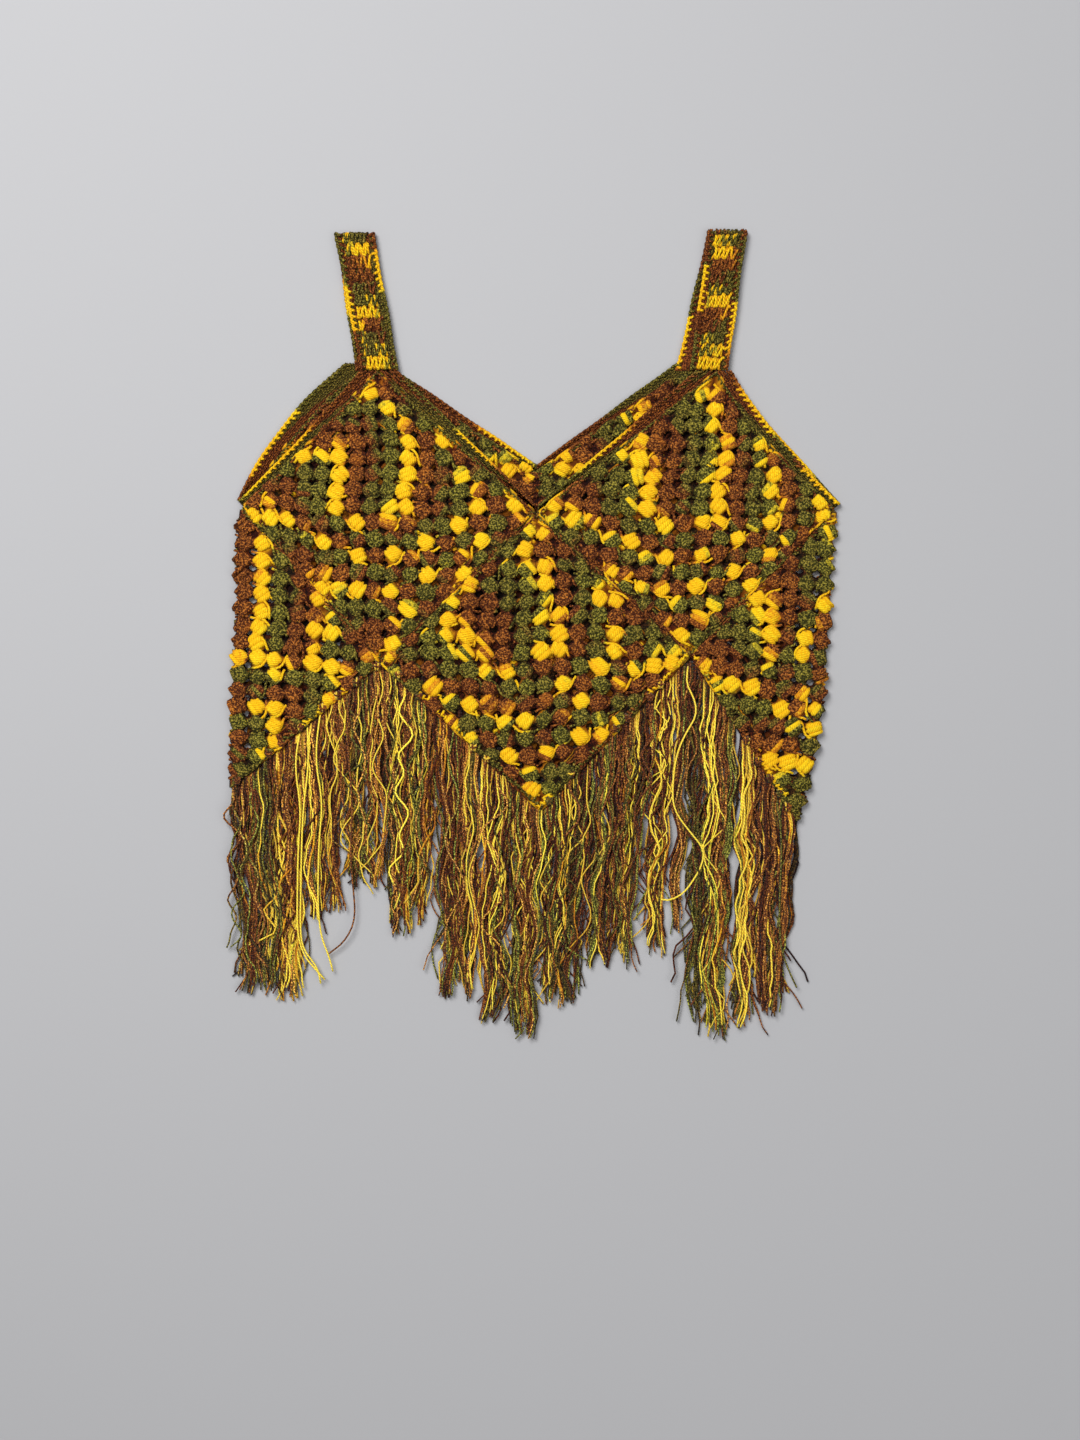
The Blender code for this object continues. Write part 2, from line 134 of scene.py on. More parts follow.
# %% A socket in an expression
class Shade:
    """An output socket of a material's node tree, used like a number."""

    def __init__(self, tree, socket=None):
        self.tree = tree
        self.socket = socket

    def node(self, kind, settings, inputs, output=0):
        """Adds a node: its settings first, then the values or links of its sockets."""
        made = self.tree.nodes.new(kind)
        for name, value in settings.items():
            if name == "stops":
                fill_ramp(made.color_ramp, value)
            else:
                setattr(made, name, value)
        for name, value in inputs.items():
            if isinstance(value, Shade):
                self.tree.links.new(value.socket, made.inputs[name])
            else:
                made.inputs[name].default_value = value
        return Shade(self.tree, made.outputs[output])

    def maths(self, operation, first, second=0.0):
        return self.node("ShaderNodeMath", {"operation": operation}, {0: first, 1: second})

    def __add__(self, other):
        return self.maths("ADD", self, other)

    def __radd__(self, other):
        return self.maths("ADD", other, self)

    def __sub__(self, other):
        return self.maths("SUBTRACT", self, other)

    def __rsub__(self, other):
        return self.maths("SUBTRACT", other, self)

    def __mul__(self, other):
        return self.maths("MULTIPLY", self, other)

    def __rmul__(self, other):
        return self.maths("MULTIPLY", other, self)

    def mixed(self, first, second, factor, blend="MIX"):
        """A colour between two colours, through one Mix node."""
        settings = {"data_type": "RGBA", "blend_type": blend}
        return self.node("ShaderNodeMix", settings, {0: factor, 6: first, 7: second}, 2)

    def step(self, low, high):
        """0 below low, 1 above high and a straight rise between them."""
        settings = {"clamp": True}
        inputs = {"Value": self, "From Min": low, "From Max": high}
        return self.node("ShaderNodeMapRange", settings, inputs)


def fill_ramp(ramp, stops):
    """Gives a colour ramp these stops, as (position, (red, green, blue))."""
    while len(ramp.elements) < len(stops):
        ramp.elements.new(1.0)
    for element, (position, colour) in zip(ramp.elements, stops):
        element.position = position
        element.color = (*colour, 1.0)


# %% [markdown]
# ## The space-dyed yarn
# One yarn makes the whole top. It is dyed in stretches: yellow, olive green, rust brown and a
# short orange, again and again. So a stitch's colour depends on how far along the yarn it was
# worked. Every mesh below carries that as the attribute `run`, in rounds of the dye, and one ramp
# turns it into colour. The dark dyes are flecked with paler fibres, and the flecks are also painted
# glints on the yarn's fuzz. Two plies wind round each other, which the UV map `yarn` draws as
# slanting ridges, in the bump and in painted shade along the grooves: u counts them round the
# strand, and v along it. Two more attributes darken the yarn with painted shade: `light` is less
# deep between the stitches, where little light gets, and `inside` marks the back layer's face under
# the front layer, which gets painted shade too.

# %% The dyes
YELLOW = (0.95, 0.62, 0.005)
DEEP_YELLOW = (0.92, 0.51, 0.004)
ORANGE = (0.72, 0.25, 0.008)
LIME = (0.45, 0.38, 0.02)
GREEN = (0.026, 0.026, 0.003)
RUST = (0.22, 0.055, 0.006)
BROWN = (0.052, 0.010, 0.003)
DYE_STOPS = (
    # place in the round of dyes: colour
    (0.000, DEEP_YELLOW),
    (0.120, YELLOW),
    (0.135, LIME),
    (0.150, GREEN),
    (0.490, GREEN),
    (0.530, BROWN),
    (0.800, BROWN),
    (0.840, RUST),
    (0.860, ORANGE),
    (0.885, DEEP_YELLOW),
)
LIT_YELLOW = (1.0, 0.76, 0.08)  # painted light: a loose strand of the yellow lets light through and looks paler
YELLOWS = (YELLOW, DEEP_YELLOW)
FRINGE_STOPS = [(place, LIT_YELLOW if dye in YELLOWS else dye) for place, dye in DYE_STOPS]
FLECK_GLINT_STOPS = (
    # the paler fibres among each dye, which also serve as painted glints
    (0.000, (1.00, 0.75, 0.02)),
    (0.130, (1.00, 0.75, 0.02)),
    (0.155, (0.40, 0.36, 0.045)),
    (0.490, (0.38, 0.30, 0.045)),
    (0.530, (0.46, 0.155, 0.028)),
    (0.830, (0.62, 0.22, 0.028)),
    (0.870, (1.00, 0.66, 0.015)),
)


# %% The yarn's material
FLECK = 1.35  # mm, the size of the flecks
FINE_FLECK = 1.0  # mm, on yarn that is worked thinner or hangs loose
FLECK_EDGES = (0.48, 0.62)  # the noise values between which a fleck fades in
BLUR = 0.03  # how far the dyes run into each other, in rounds of the dye
BLUR_SCALE = 420.0
INSIDE_DARK = 0.9  # painted shade: how much less light the inner face of the back layer gets
WARM_SHADE = 0.7  # the power of light that red keeps, so that shade on yarn is warm
GROOVE_SHADE = 0.3  # painted shade: how much darker the grooves between plies are
# painted shade in the grooves of yarn worked thinner or hanging loose
DEEP_GROOVE_SHADE = 0.5
FIBRE_SCALE = 1900.0
PLY_HEIGHT = 0.5  # of the bump, and of the fibres on it
FIBRE_HEIGHT = 1.6
BUMP_DEPTH = 0.0003  # m
BUMP_STRENGTH = 0.8
ROUGHNESS = (0.72, 0.2)  # at the least, and how much more the fibres add
SHEEN = 0.02
FINE_SHEEN = 0.12  # a loose strand shines more than a worked stitch
SHEEN_ROUGHNESS = 0.5
SPECULAR = 0.12


def surface(start):
    """The dye's place, the yarn's place in space, its plies' ridges and the painted light on it."""
    run, light, inside = [
        start.node("ShaderNodeAttribute", {"attribute_name": name}, {}, "Fac")
        for name in ("run", "light", "inside")
    ]
    place = start.node("ShaderNodeTexCoord", {}, {}, "Object")
    chart = start.node("ShaderNodeUVMap", {"uv_map": "yarn"}, {})
    round_it = start.node("ShaderNodeSeparateXYZ", {}, {0: chart}, "X")
    along_it = start.node("ShaderNodeSeparateXYZ", {}, {0: chart}, "Y")
    plies = start.maths("SINE", (round_it + along_it) * (2 * math.pi))
    facing = start.node("ShaderNodeNewGeometry", {}, {}, "Normal")
    upward = start.node("ShaderNodeSeparateXYZ", {}, {0: facing}, "Z")
    # painted shade on the upward faces of the back layer under the front layer
    light = light * (1.0 - inside * upward.step(0.0, 0.5) * INSIDE_DARK)
    return run, place, plies, light


def yarn_material(name, dyes=DYE_STOPS, fleck=FLECK, groove_shade=GROOVE_SHADE, sheen=SHEEN):
    """The dyed yarn, its flecks and painted glints, painted shade between its plies, its fibres."""
    material = bpy.data.materials.new(name)
    material.use_nodes = True
    tree = material.node_tree
    shader = tree.nodes["Principled BSDF"]
    start = Shade(tree)
    run, place, plies, light = surface(start)

    blur = start.node("ShaderNodeTexNoise", {}, {"Vector": place, "Scale": BLUR_SCALE}, "Fac")
    turn = start.maths("FRACT", run + (blur - 0.5) * (2 * BLUR))
    dye = start.node("ShaderNodeValToRGB", {"stops": dyes}, {"Fac": turn}, "Color")
    # the flecks: paler fibres, and painted glints on the fuzz
    pale_glint = start.node("ShaderNodeValToRGB", {"stops": FLECK_GLINT_STOPS}, {"Fac": turn}, "Color")
    fleck_inputs = {"Vector": place, "Scale": 1.0 / (fleck * MM), "Detail": 3.0, "Roughness": 0.7}
    flecks = start.node("ShaderNodeTexNoise", {}, fleck_inputs, "Fac")
    colour = start.mixed(dye, pale_glint, flecks.step(*FLECK_EDGES))

    # painted shade in the grooves between the plies
    light = light * (plies * (groove_shade / 2) + (1.0 - groove_shade / 2))
    warm = start.maths("POWER", light, WARM_SHADE)
    shade = start.node("ShaderNodeCombineColor", {}, {0: warm, 1: light, 2: light})
    colour = start.mixed(colour, shade, 1.0, "MULTIPLY")
    tree.links.new(colour.socket, shader.inputs["Base Color"])

    fibre_inputs = {"Vector": place, "Scale": FIBRE_SCALE, "Detail": 3.0}
    fibres = start.node("ShaderNodeTexNoise", {}, fibre_inputs, "Fac")
    height = plies * PLY_HEIGHT + fibres * FIBRE_HEIGHT
    bump_inputs = {"Height": height, "Distance": BUMP_DEPTH, "Strength": BUMP_STRENGTH}
    bump = start.node("ShaderNodeBump", {}, bump_inputs)
    tree.links.new(bump.socket, shader.inputs["Normal"])
    roughness = ROUGHNESS[0] + fibres * ROUGHNESS[1]
    tree.links.new(roughness.socket, shader.inputs["Roughness"])
    shader.inputs["Sheen Weight"].default_value = sheen
    shader.inputs["Sheen Roughness"].default_value = SHEEN_ROUGHNESS
    shader.inputs["Specular IOR Level"].default_value = SPECULAR
    return material


granny_yarn = yarn_material("granny_yarn")
edging_yarn = yarn_material("edging_yarn", fleck=FINE_FLECK, groove_shade=DEEP_GROOVE_SHADE)
strap_yarn = yarn_material("strap_yarn", fleck=FINE_FLECK, groove_shade=DEEP_GROOVE_SHADE)
fringe_yarn = yarn_material("fringe_yarn", FRINGE_STOPS, FINE_FLECK, DEEP_GROOVE_SHADE, FINE_SHEEN)
print("materials:", [granny_yarn.name, edging_yarn.name, strap_yarn.name, fringe_yarn.name])

# %% [markdown]
# ## Yarn as tubes
# A curve object for each of 20,000 lengths of yarn would be slow, so one class gathers them. Each
# is a line of points, lines of the same number of points are added together, and numpy makes the
# rings of them all at once. A frame carried along each line without turning keeps the tube from
# twisting.

# %% Frames along many lines
UP = np.array((0.0, 0.0, 1.0))
STEEP = 0.9  # a line this near to upright starts its frame from another way
TINY = 1e-12  # a length of nothing is taken as this, to divide by


def unit(vectors):
    return vectors / np.maximum(np.linalg.norm(vectors, axis=-1, keepdims=True), TINY)


def moving_frames(lines):
    """The way ahead, a normal and a side at every point of lines, an array (line, point, 3)."""
    ahead = np.empty_like(lines)
    ahead[:, 1:-1] = lines[:, 2:] - lines[:, :-2]
    ahead[:, 0] = lines[:, 1] - lines[:, 0]
    ahead[:, -1] = lines[:, -1] - lines[:, -2]
    ahead = unit(ahead)
    normal = np.empty_like(lines)
    steep = np.abs(ahead[:, :1, 2]) > STEEP
    last = np.where(steep, np.array((1.0, 0.0, 0.0)), UP)
    for number in range(lines.shape[1]):
        way = ahead[:, number]
        last = unit(last - way * np.sum(last * way, axis=-1, keepdims=True))
        normal[:, number] = last
    return ahead, normal, np.cross(ahead, normal)


# %% The gatherer of yarn
TABLE_CLEAR = 0.05 * MM
PLIES = (2, 2.5 * MM)  # ridges round a strand, and the length of it from one ridge to the next


class Yarns:
    """Many lengths of yarn, gathered for one mesh."""

    def __init__(self):
        self.points = []
        self.runs = []
        self.lights = []
        self.faces = []
        self.uvs = []
        self.count = 0

    def add(self, lines, radius, run, light=1.0, sides=4, press=1.0, plies=PLIES):
        """Adds a closed tube along each line. run is its place in the dye, point by point."""
        strands, rings, _ = lines.shape
        radius = np.broadcast_to(radius, (strands, rings))
        _, normal, side = moving_frames(lines)
        angle = (2 * math.pi * (np.arange(sides) + 0.5) / sides)[:, None]
        spokes = press * np.cos(angle) * normal[:, :, None] + np.sin(angle) * side[:, :, None]
        points = lines[:, :, None] + spokes * radius[:, :, None, None]
        points[..., 2] = np.maximum(points[..., 2], TABLE_CLEAR)
        number = self.count + np.arange(strands * rings * sides).reshape(strands, rings, sides)
        beside = np.roll(number, -1, axis=2)
        quads = (number[:, :-1], beside[:, :-1], beside[:, 1:], number[:, 1:])
        steps = np.linalg.norm(np.diff(lines, axis=1), axis=-1)
        along = np.concatenate((np.zeros((strands, 1)), np.cumsum(steps, axis=1)), axis=1)
        along = np.repeat(along[:, :, None] / plies[1], sides, axis=2)
        here = np.broadcast_to(np.arange(sides) * (plies[0] / sides), along.shape)
        there = here + plies[0] / sides
        corners = (
            np.stack((here[:, :-1], along[:, :-1]), axis=-1),
            np.stack((there[:, :-1], along[:, :-1]), axis=-1),
            np.stack((there[:, 1:], along[:, 1:]), axis=-1),
            np.stack((here[:, 1:], along[:, 1:]), axis=-1),
        )
        caps = np.concatenate((number[:, 0, ::-1], number[:, -1]))
        cap_uvs = np.zeros((caps.size, 2))
        cap_uvs[:, 1] = np.repeat(np.concatenate((along[:, 0, 0], along[:, -1, 0])), sides)
        self.points.append(points.reshape(-1, 3))
        self.runs.append(np.repeat(np.broadcast_to(run, (strands, rings)), sides))
        self.lights.append(np.repeat(np.broadcast_to(light, (strands, rings)), sides))
        self.faces += [np.stack(quads, axis=-1).reshape(-1, 4), caps]
        self.uvs += [np.stack(corners, axis=-2).reshape(-1, 2), cap_uvs]
        self.count += strands * rings * sides

    def piece(self, name, material):
        """Makes the mesh of all that was added, as an object."""
        shades = {"run": np.concatenate(self.runs), "light": np.concatenate(self.lights)}
        return mesh_piece(name, np.concatenate(self.points), shades, self.faces, self.uvs, material)


# %% A mesh from arrays
made_faces = {}  # triangles of each piece


def mesh_piece(name, points, shades, faces, uvs, material):
    """An object from its points, values at its points, faces in groups of one size, corner UVs."""
    corners = np.concatenate([group.ravel() for group in faces])
    sizes = np.concatenate([np.full(len(group), group.shape[1]) for group in faces])
    starts = np.concatenate(([0], np.cumsum(sizes)[:-1]))
    mesh = bpy.data.meshes.new(name)
    mesh.vertices.add(len(points))
    mesh.vertices.foreach_set("co", points.astype(np.float32).ravel())
    mesh.loops.add(len(corners))
    mesh.loops.foreach_set("vertex_index", corners.astype(np.int32))
    mesh.polygons.add(len(sizes))
    mesh.polygons.foreach_set("loop_start", starts.astype(np.int32))
    mesh.update(calc_edges=True)
    shades = {**shades, "inside": inside_of(points)}
    for title, values in shades.items():
        shade = mesh.attributes.new(title, "FLOAT", "POINT")
        shade.data.foreach_set("value", values.astype(np.float32))
    chart = mesh.uv_layers.new(name="yarn")
    chart.uv.foreach_set("vector", np.concatenate(uvs).astype(np.float32).ravel())
    mesh.shade_smooth()
    mesh.materials.append(material)
    piece = bpy.data.objects.new(name, mesh)
    bpy.context.scene.collection.objects.link(piece)
    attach(piece, "root")
    made_faces[name] = int((sizes - 2).sum())
    return piece


# %% [markdown]
# ## Reading the form of the solids
# Nothing is placed by eye twice: each square's corners, the bow of its armhole side and the height
# of its soft swells are read from its solid, with rays cast down and up on a coarse grid.

# %% Points and rays on the solids
WALL = 3.0 * MM  # thickness of one layer of crochet
LAYERS_MEET = 3.6 * MM  # what is higher than this belongs to the front layer
BACK_MIDDLE = 1.5 * MM  # height of the back layer's middle
FRONT_MIDDLE = 4.8 * MM
SWELL_GRID = 9  # readings of a square's height, each way
FEELER = 20.0 * MM  # how far outside a side a ray starts
FEELER_HEIGHTS = np.arange(0.5, 8.0, 0.5) * MM
FAR_UP = 1.0  # m above or below the table, where an upright ray starts


def points_of(node):
    """The solid's vertices as an array."""
    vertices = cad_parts[node].data.vertices
    flat = np.empty(len(vertices) * 3, np.float32)
    vertices.foreach_get("co", flat)
    return flat.reshape(-1, 3).astype(float)


def ray_tree(node):
    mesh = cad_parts[node].data
    places = [vertex.co.copy() for vertex in mesh.vertices]
    return BVHTree.FromPolygons(places, [tuple(face.vertices) for face in mesh.polygons])


def hit_from(tree, x, y, side):
    """Where an upright ray from above (side 1) or below (-1) meets the solid, if it does."""
    return tree.ray_cast(Vector((x, y, side * FAR_UP)), Vector((0, 0, -side)))[0]


def extreme(points, way):
    """The point that lies farthest along a way of the table."""
    return points[np.argmax(points[:, :2] @ np.array(way)), :2]


def bilinear(grid, u, v):
    """Values between those of a square grid over u and v from 0 to 1."""
    last = len(grid) - 1
    column = np.clip(u * last, 0, last - 1e-6)
    row = np.clip(v * last, 0, last - 1e-6)
    i = column.astype(int)
    j = row.astype(int)
    du = column - i
    dv = row - j
    upper = grid[i, j] * (1 - dv) + grid[i, j + 1] * dv
    lower = grid[i + 1, j] * (1 - dv) + grid[i + 1, j + 1] * dv
    return upper * (1 - du) + lower * du


def reach_out(tree, place, outward):
    """How far a solid's side stands outside a place, in metres."""
    far = place + outward * FEELER
    hits = []
    for height in FEELER_HEIGHTS:
        hit = tree.ray_cast(Vector((*far, height)), Vector((*-outward, 0)), 2 * FEELER)[0]
        if hit is not None:
            hits.append(FEELER - (hit - Vector((*far, height))).length)
    return max(hits)


front_outlines = []  # of the squares in the front, as they are charted


def inside_of(points):
    """1 for points of the back layer under the front layer, for painted shade, and 0 for others."""
    covered = np.zeros(len(points), bool)
    x, y, z = points.T
    for outline in front_outlines:
        crossings = np.zeros(len(points), int)
        for (x1, y1), (x2, y2) in zip(outline, np.roll(outline, -1, axis=0)):
            spans = (y1 > y) != (y2 > y)
            where = x1 + (y - y1) * (x2 - x1) / (y2 - y1 if y2 != y1 else 1.0)
            crossings += spans & (x < where)
        covered |= crossings % 2 == 1
    return (covered & (z < LAYERS_MEET)).astype(float)


# %% A flat square's chart
ROUNDS = 8  # of clusters, from a square's middle to its edge
SWAY = 0.13  # how far the rounds sway out of true, in cells
SWAY_FROM = 0.25  # the share of the way in from the edge at which they sway fully
SWAY_RATES = (1.1, 0.9)  # radians of sway for each cell, across and down
OVERLAP = 0.005  # how far a square's cloth may reach under its neighbour's, of its side
READ_FROM = 0.015  # the first reading of its height lies this share in from its edge


class FlatSquare:
    """Where a point of a granny square's chart lies on the table.

    The chart's axes run from corner to corner of the square, and its unit is one cell of the net:
    u runs from the top corner to the left one, and v from the top corner to the right one.
    """

    def __init__(self, node, reach, shift):
        points = points_of(node)
        ways = ((0, 1), (-1, 0), (0, -1), (1, 0))
        self.top, self.left, self.bottom, self.right = [extreme(points, way) for way in ways]
        self.reach = reach
        self.shift = shift
        self.cell = (
            np.linalg.norm(self.right - self.left) / (2 * reach[0]),
            np.linalg.norm(self.top - self.bottom) / (2 * reach[1]),
        )
        tree = ray_tree(node)
        self.bows = [self.bow(tree, self.top, end) for end in (self.left, self.right)]
        shares = np.linspace(READ_FROM, 1 - READ_FROM, SWELL_GRID)
        self.middle = np.zeros((SWELL_GRID, SWELL_GRID))
        for i, u in enumerate(shares):
            for j, v in enumerate(shares):
                x, y = self.flat(np.array(u), np.array(v))
                self.middle[i, j] = (hit_from(tree, x, y, 1).z + hit_from(tree, x, y, -1).z) / 2

    def bow(self, tree, start, end):
        """How far a side's middle stands outside the straight line between its corners."""
        along = end - start
        outward = np.array((along[1], -along[0])) / np.linalg.norm(along)
        if outward @ (self.top - self.bottom) < 0:
            outward = -outward
        return outward * reach_out(tree, (start + end) / 2, outward)

    def outline(self):
        return np.array((self.top, self.left, self.bottom, self.right))

    def flat(self, u, v):
        u = np.clip(u, -OVERLAP, 1.0 + OVERLAP)[..., None]
        v = np.clip(v, -OVERLAP, 1.0 + OVERLAP)[..., None]
        place = (1 - u) * (1 - v) * self.top + u * (1 - v) * self.left
        place = place + (1 - u) * v * self.right + u * v * self.bottom
        place = place + 4 * u * (1 - u) * (1 - v) * self.bows[0]
        return place + 4 * v * (1 - v) * (1 - u) * self.bows[1]

    def at(self, u, v, up):
        """The point at (u, v), raised by up from the middle of the cloth."""
        flat = self.flat(u, v)
        height = bilinear(self.middle, np.clip(u, 0, 1), np.clip(v, 0, 1)) + up
        return np.concatenate((flat, height[..., None]), axis=-1)

    def chart(self, x, y, up):
        """The point at (x, y) of the chart, whose middle may lie a little off the square's."""
        within = np.clip(1 - (np.abs(x) + np.abs(y)) / ROUNDS, 0.0, SWAY_FROM) * (SWAY / SWAY_FROM)
        phase = self.top[0] / MM  # each square sways in its own way
        sway_x = within * np.sin(SWAY_RATES[0] * y + phase)
        sway_y = within * np.sin(SWAY_RATES[1] * x + 2 * phase)
        x, y = x + sway_x, y + sway_y
        x = x + self.shift[0] * (1 - np.abs(y) / ROUNDS)
        y = y + self.shift[1] * (1 - np.abs(x) / ROUNDS)
        u = (1 - y / self.reach[1] - x / self.reach[0]) / 2
        v = (1 - y / self.reach[1] + x / self.reach[0]) / 2
        return self.at(u, v, up)

    def sides(self):
        """Each side as (its length, a function of share along it, mm inward and mm up)."""
        corners = (self.top, self.left, self.bottom, self.right)
        span = np.linalg.norm(self.left - self.top)

        def maker(number):
            def place(share, inward, up):
                deep = inward / span
                uv = (
                    (share, deep),
                    (1 - deep, share),
                    (1 - share, 1 - deep),
                    (deep, 1 - share),
                )[number]
                return self.at(*np.broadcast_arrays(*uv), up)

            return place

        return [
            (np.linalg.norm(corners[(number + 1) % 4] - corners[number]), maker(number))
            for number in range(4)
        ]


# %% [markdown]
# ## A granny square's net
# A granny square is worked in rounds from its middle. Each round sets clusters of three trebles
# into the gaps of the round before, with four more clusters each time, so eight rounds hold 144.
# On point, the clusters of a square stand on a chess board: a cluster in each cell, fanned out to
# one of the four sides, and a hole at each corner of the cells.

# %% Where the clusters stand
def cluster_places():
    """Columns: round, number in the round, chart x and y, and the way out as a quarter turn."""
    rows = []
    for ring in range(1, ROUNDS + 1):
        for number in range(4 * ring):
            quarter, step = divmod(number, ring)
            x, y = ring - 0.5 - step, step + 0.5
            for _ in range(quarter):
                x, y = -y, x
            rows.append((ring, number, x, y, quarter))
    return np.array(rows)


CLUSTERS = cluster_places()
print(len(CLUSTERS), "clusters in a square")

# %% [markdown]
# ## A cluster of three trebles
# A treble is a post, a little narrower at its foot. Three of them share one gap at their feet and
# fan out, so close to each other that a cluster looks like one square bead. Its loops slant across
# it as fine ridges, which the yarn's bump and its painted shade in the grooves draw. A chain runs
# along under the heads and on to the next cluster.

# %% Lines of one cluster, in mm: across, outward, up
POST_FOOT = (2.9, -6.6, -0.2)
POST_WAIST = (3.2, -0.6, 0.75)
POST_HEAD = (3.3, 5.4, 0.0)
POST_RADIUS = 3.15
POST_THINNEST = 0.12  # its radius at its very ends, of the full one
POST_FOOT_SHARE = 0.72  # and at the foot
POST_ENDS = 6  # the higher this power, the blunter its ends
POST_PRESS = 0.5  # its height, of its width
POST_PLIES = (6, 1.9 * MM)
MIDDLE_LONGER = 0.6  # the middle treble's head stands out farther
MIDDLE_HIGHER = 0.3
CLUSTER_PITCH = 18.8  # from one cluster to the next of its round
CHAIN = 1.15  # radius
CHAIN_ENDS = 2.5
CHAIN_RISE = 2.9
CHAIN_UP = (0.0, 0.4)  # height of the chain at its ends, and how much higher it is in the middle


def through(first, second, third, share):
    """A smooth line through three points."""
    share = share[:, None]
    return (
        np.array(first) * (1 - share) * (1 - 2 * share)
        + np.array(second) * 4 * share * (1 - share)
        + np.array(third) * share * (2 * share - 1)
    )


def post_lines(rings):
    share = np.linspace(0.0, 1.0, rings)
    posts = []
    for place in (-1, 0, 1):
        middle = 1 - abs(place)
        foot, waist, head = [
            np.array((place * across, out, up))
            for across, out, up in (POST_FOOT, POST_WAIST, POST_HEAD)
        ]
        waist += (0.0, 0.0, middle * MIDDLE_HIGHER)
        head += (0.0, middle * MIDDLE_LONGER, middle * MIDDLE_HIGHER)
        posts.append(through(foot, waist, head, share))
    return np.array(posts)


def post_radius(rings):
    """Round at both ends, and narrower at the foot."""
    share = np.linspace(0.0, 1.0, rings)
    rounded = np.sqrt(1.0 - np.abs(2 * share - 1) ** POST_ENDS)
    width = POST_FOOT_SHARE + (1 - POST_FOOT_SHARE) * share
    return POST_RADIUS * np.maximum(POST_THINNEST, rounded * width)


def chain_line(rings):
    across = np.linspace(-0.5, 0.5, rings)
    swell = np.cos(across * math.pi) ** 2
    out = CHAIN_ENDS + CHAIN_RISE * swell
    return np.stack((across * CLUSTER_PITCH, out, CHAIN_UP[0] + CHAIN_UP[1] * swell), axis=-1)[None]


# %% The rounds' dyes
# Where each round of a square meets its first yellow stretch, and how far apart these stretches
# lie, both counted in clusters and charted. A square worked the other way round has a
# negative hand.
DYES = {
    # square: (hand, first yellow of rounds 1 to 8, clusters between yellows in rounds 1 to 8)
    "front_left": (
        1,
        (-0.6, 0.1, 1.0, 1.9, 2.9, 0.0, 1.6, 0.1),
        (4.0, 4.0, 4.0, 4.0, 4.0, 4.0, 4.0, 3.97),
    ),
    "front_centre": (
        1,
        (0.0, 0.1, 1.3, 2.4, -0.1, 1.1, 3.2, -0.5),
        (4.0, 4.1, 4.3, 4.2, 4.25, 4.3, 4.03, 3.98),
    ),
    "front_right": (
        1,
        (-1.0, 0.0, 1.2, 2.4, 3.3, 0.7, 2.1, -0.2),
        (4.0, 3.75, 3.85, 3.87, 3.92, 3.9, 3.88, 3.88),
    ),
    "side_left": (
        -1,
        (-1.0, 0.0, 1.2, 2.0, 2.8, 4.0, 4.9, 6.0),
        (3.6, 3.6, 3.3, 3.1, 3.25, 3.2, 3.6, 3.25),
    ),
    "side_right": (
        1,
        (3.0, 3.0, 3.8, 4.0, 8.0, 9.2, 10.4, 7.5),
        (4.0, 3.6, 3.9, 3.4, 4.2, 3.8, 4.3, 4.55),
    ),
    "back_left": (
        1,
        (0.4, 1.2, 2.0, 0.6, 1.5, 2.8, 0.3, 0.1),
        (4.0, 4.0, 3.9, 4.0, 4.1, 3.9, 4.0, 6.4),
    ),
    "back_centre": (
        1,
        (1.0, 1.9, 3.1, 0.3, 1.2, 2.6, 3.8, 1.4),
        (4.0, 4.0, 4.1, 4.0, 3.95, 4.1, 4.0, 3.9),
    ),
    "back_right": (
        1,
        (2.0, 2.6, 0.2, 1.4, 2.6, 3.5, 0.9, 2.4),
        (4.0, 3.9, 4.0, 4.05, 4.0, 3.9, 4.0, 4.0),
    ),
}


def dye_of(square, ring, number):
    """The place in the dye at a number of clusters along a round."""
    hand, firsts, aparts = DYES[square]
    which = np.clip(ring, 1, ROUNDS).astype(int) - 1
    return hand * (number - np.array(firsts)[which]) / np.array(aparts)[which]


# %% Laying clusters on a square
QUARTER_WAYS = np.array(((1, 1), (-1, 1), (-1, -1), (1, -1))) / math.sqrt(2)
LAST_ROUND_OUT = 0.62  # the last round's heads are cut this short by the border
CLUSTER_LEAN = 0.2  # radians, how unevenly the clusters lean, and
CLUSTER_SIZE = 0.08  # how uneven they are in size,
CLUSTER_NUDGE = 0.75  # mm, in place
CLUSTER_LIFT = 0.2  # mm, and in height
CLUSTER_DYE = 0.035  # and in the dye, in rounds of it
DEEP = (-1.0, 0.8)  # mm, the heights with the least and the full light
DEEP_LIGHT = 0.6
POST_MESH = {True: (8, 6), False: (6, 4)}  # rings and sides, on squares that show and on others
CHAIN_MESH = {True: (8, 4), False: (5, 3)}


def light_of(up):
    """How much light yarn gets at a height in mm over the middle of the cloth."""
    return np.interp(up, DEEP, (DEEP_LIGHT, 1.0))


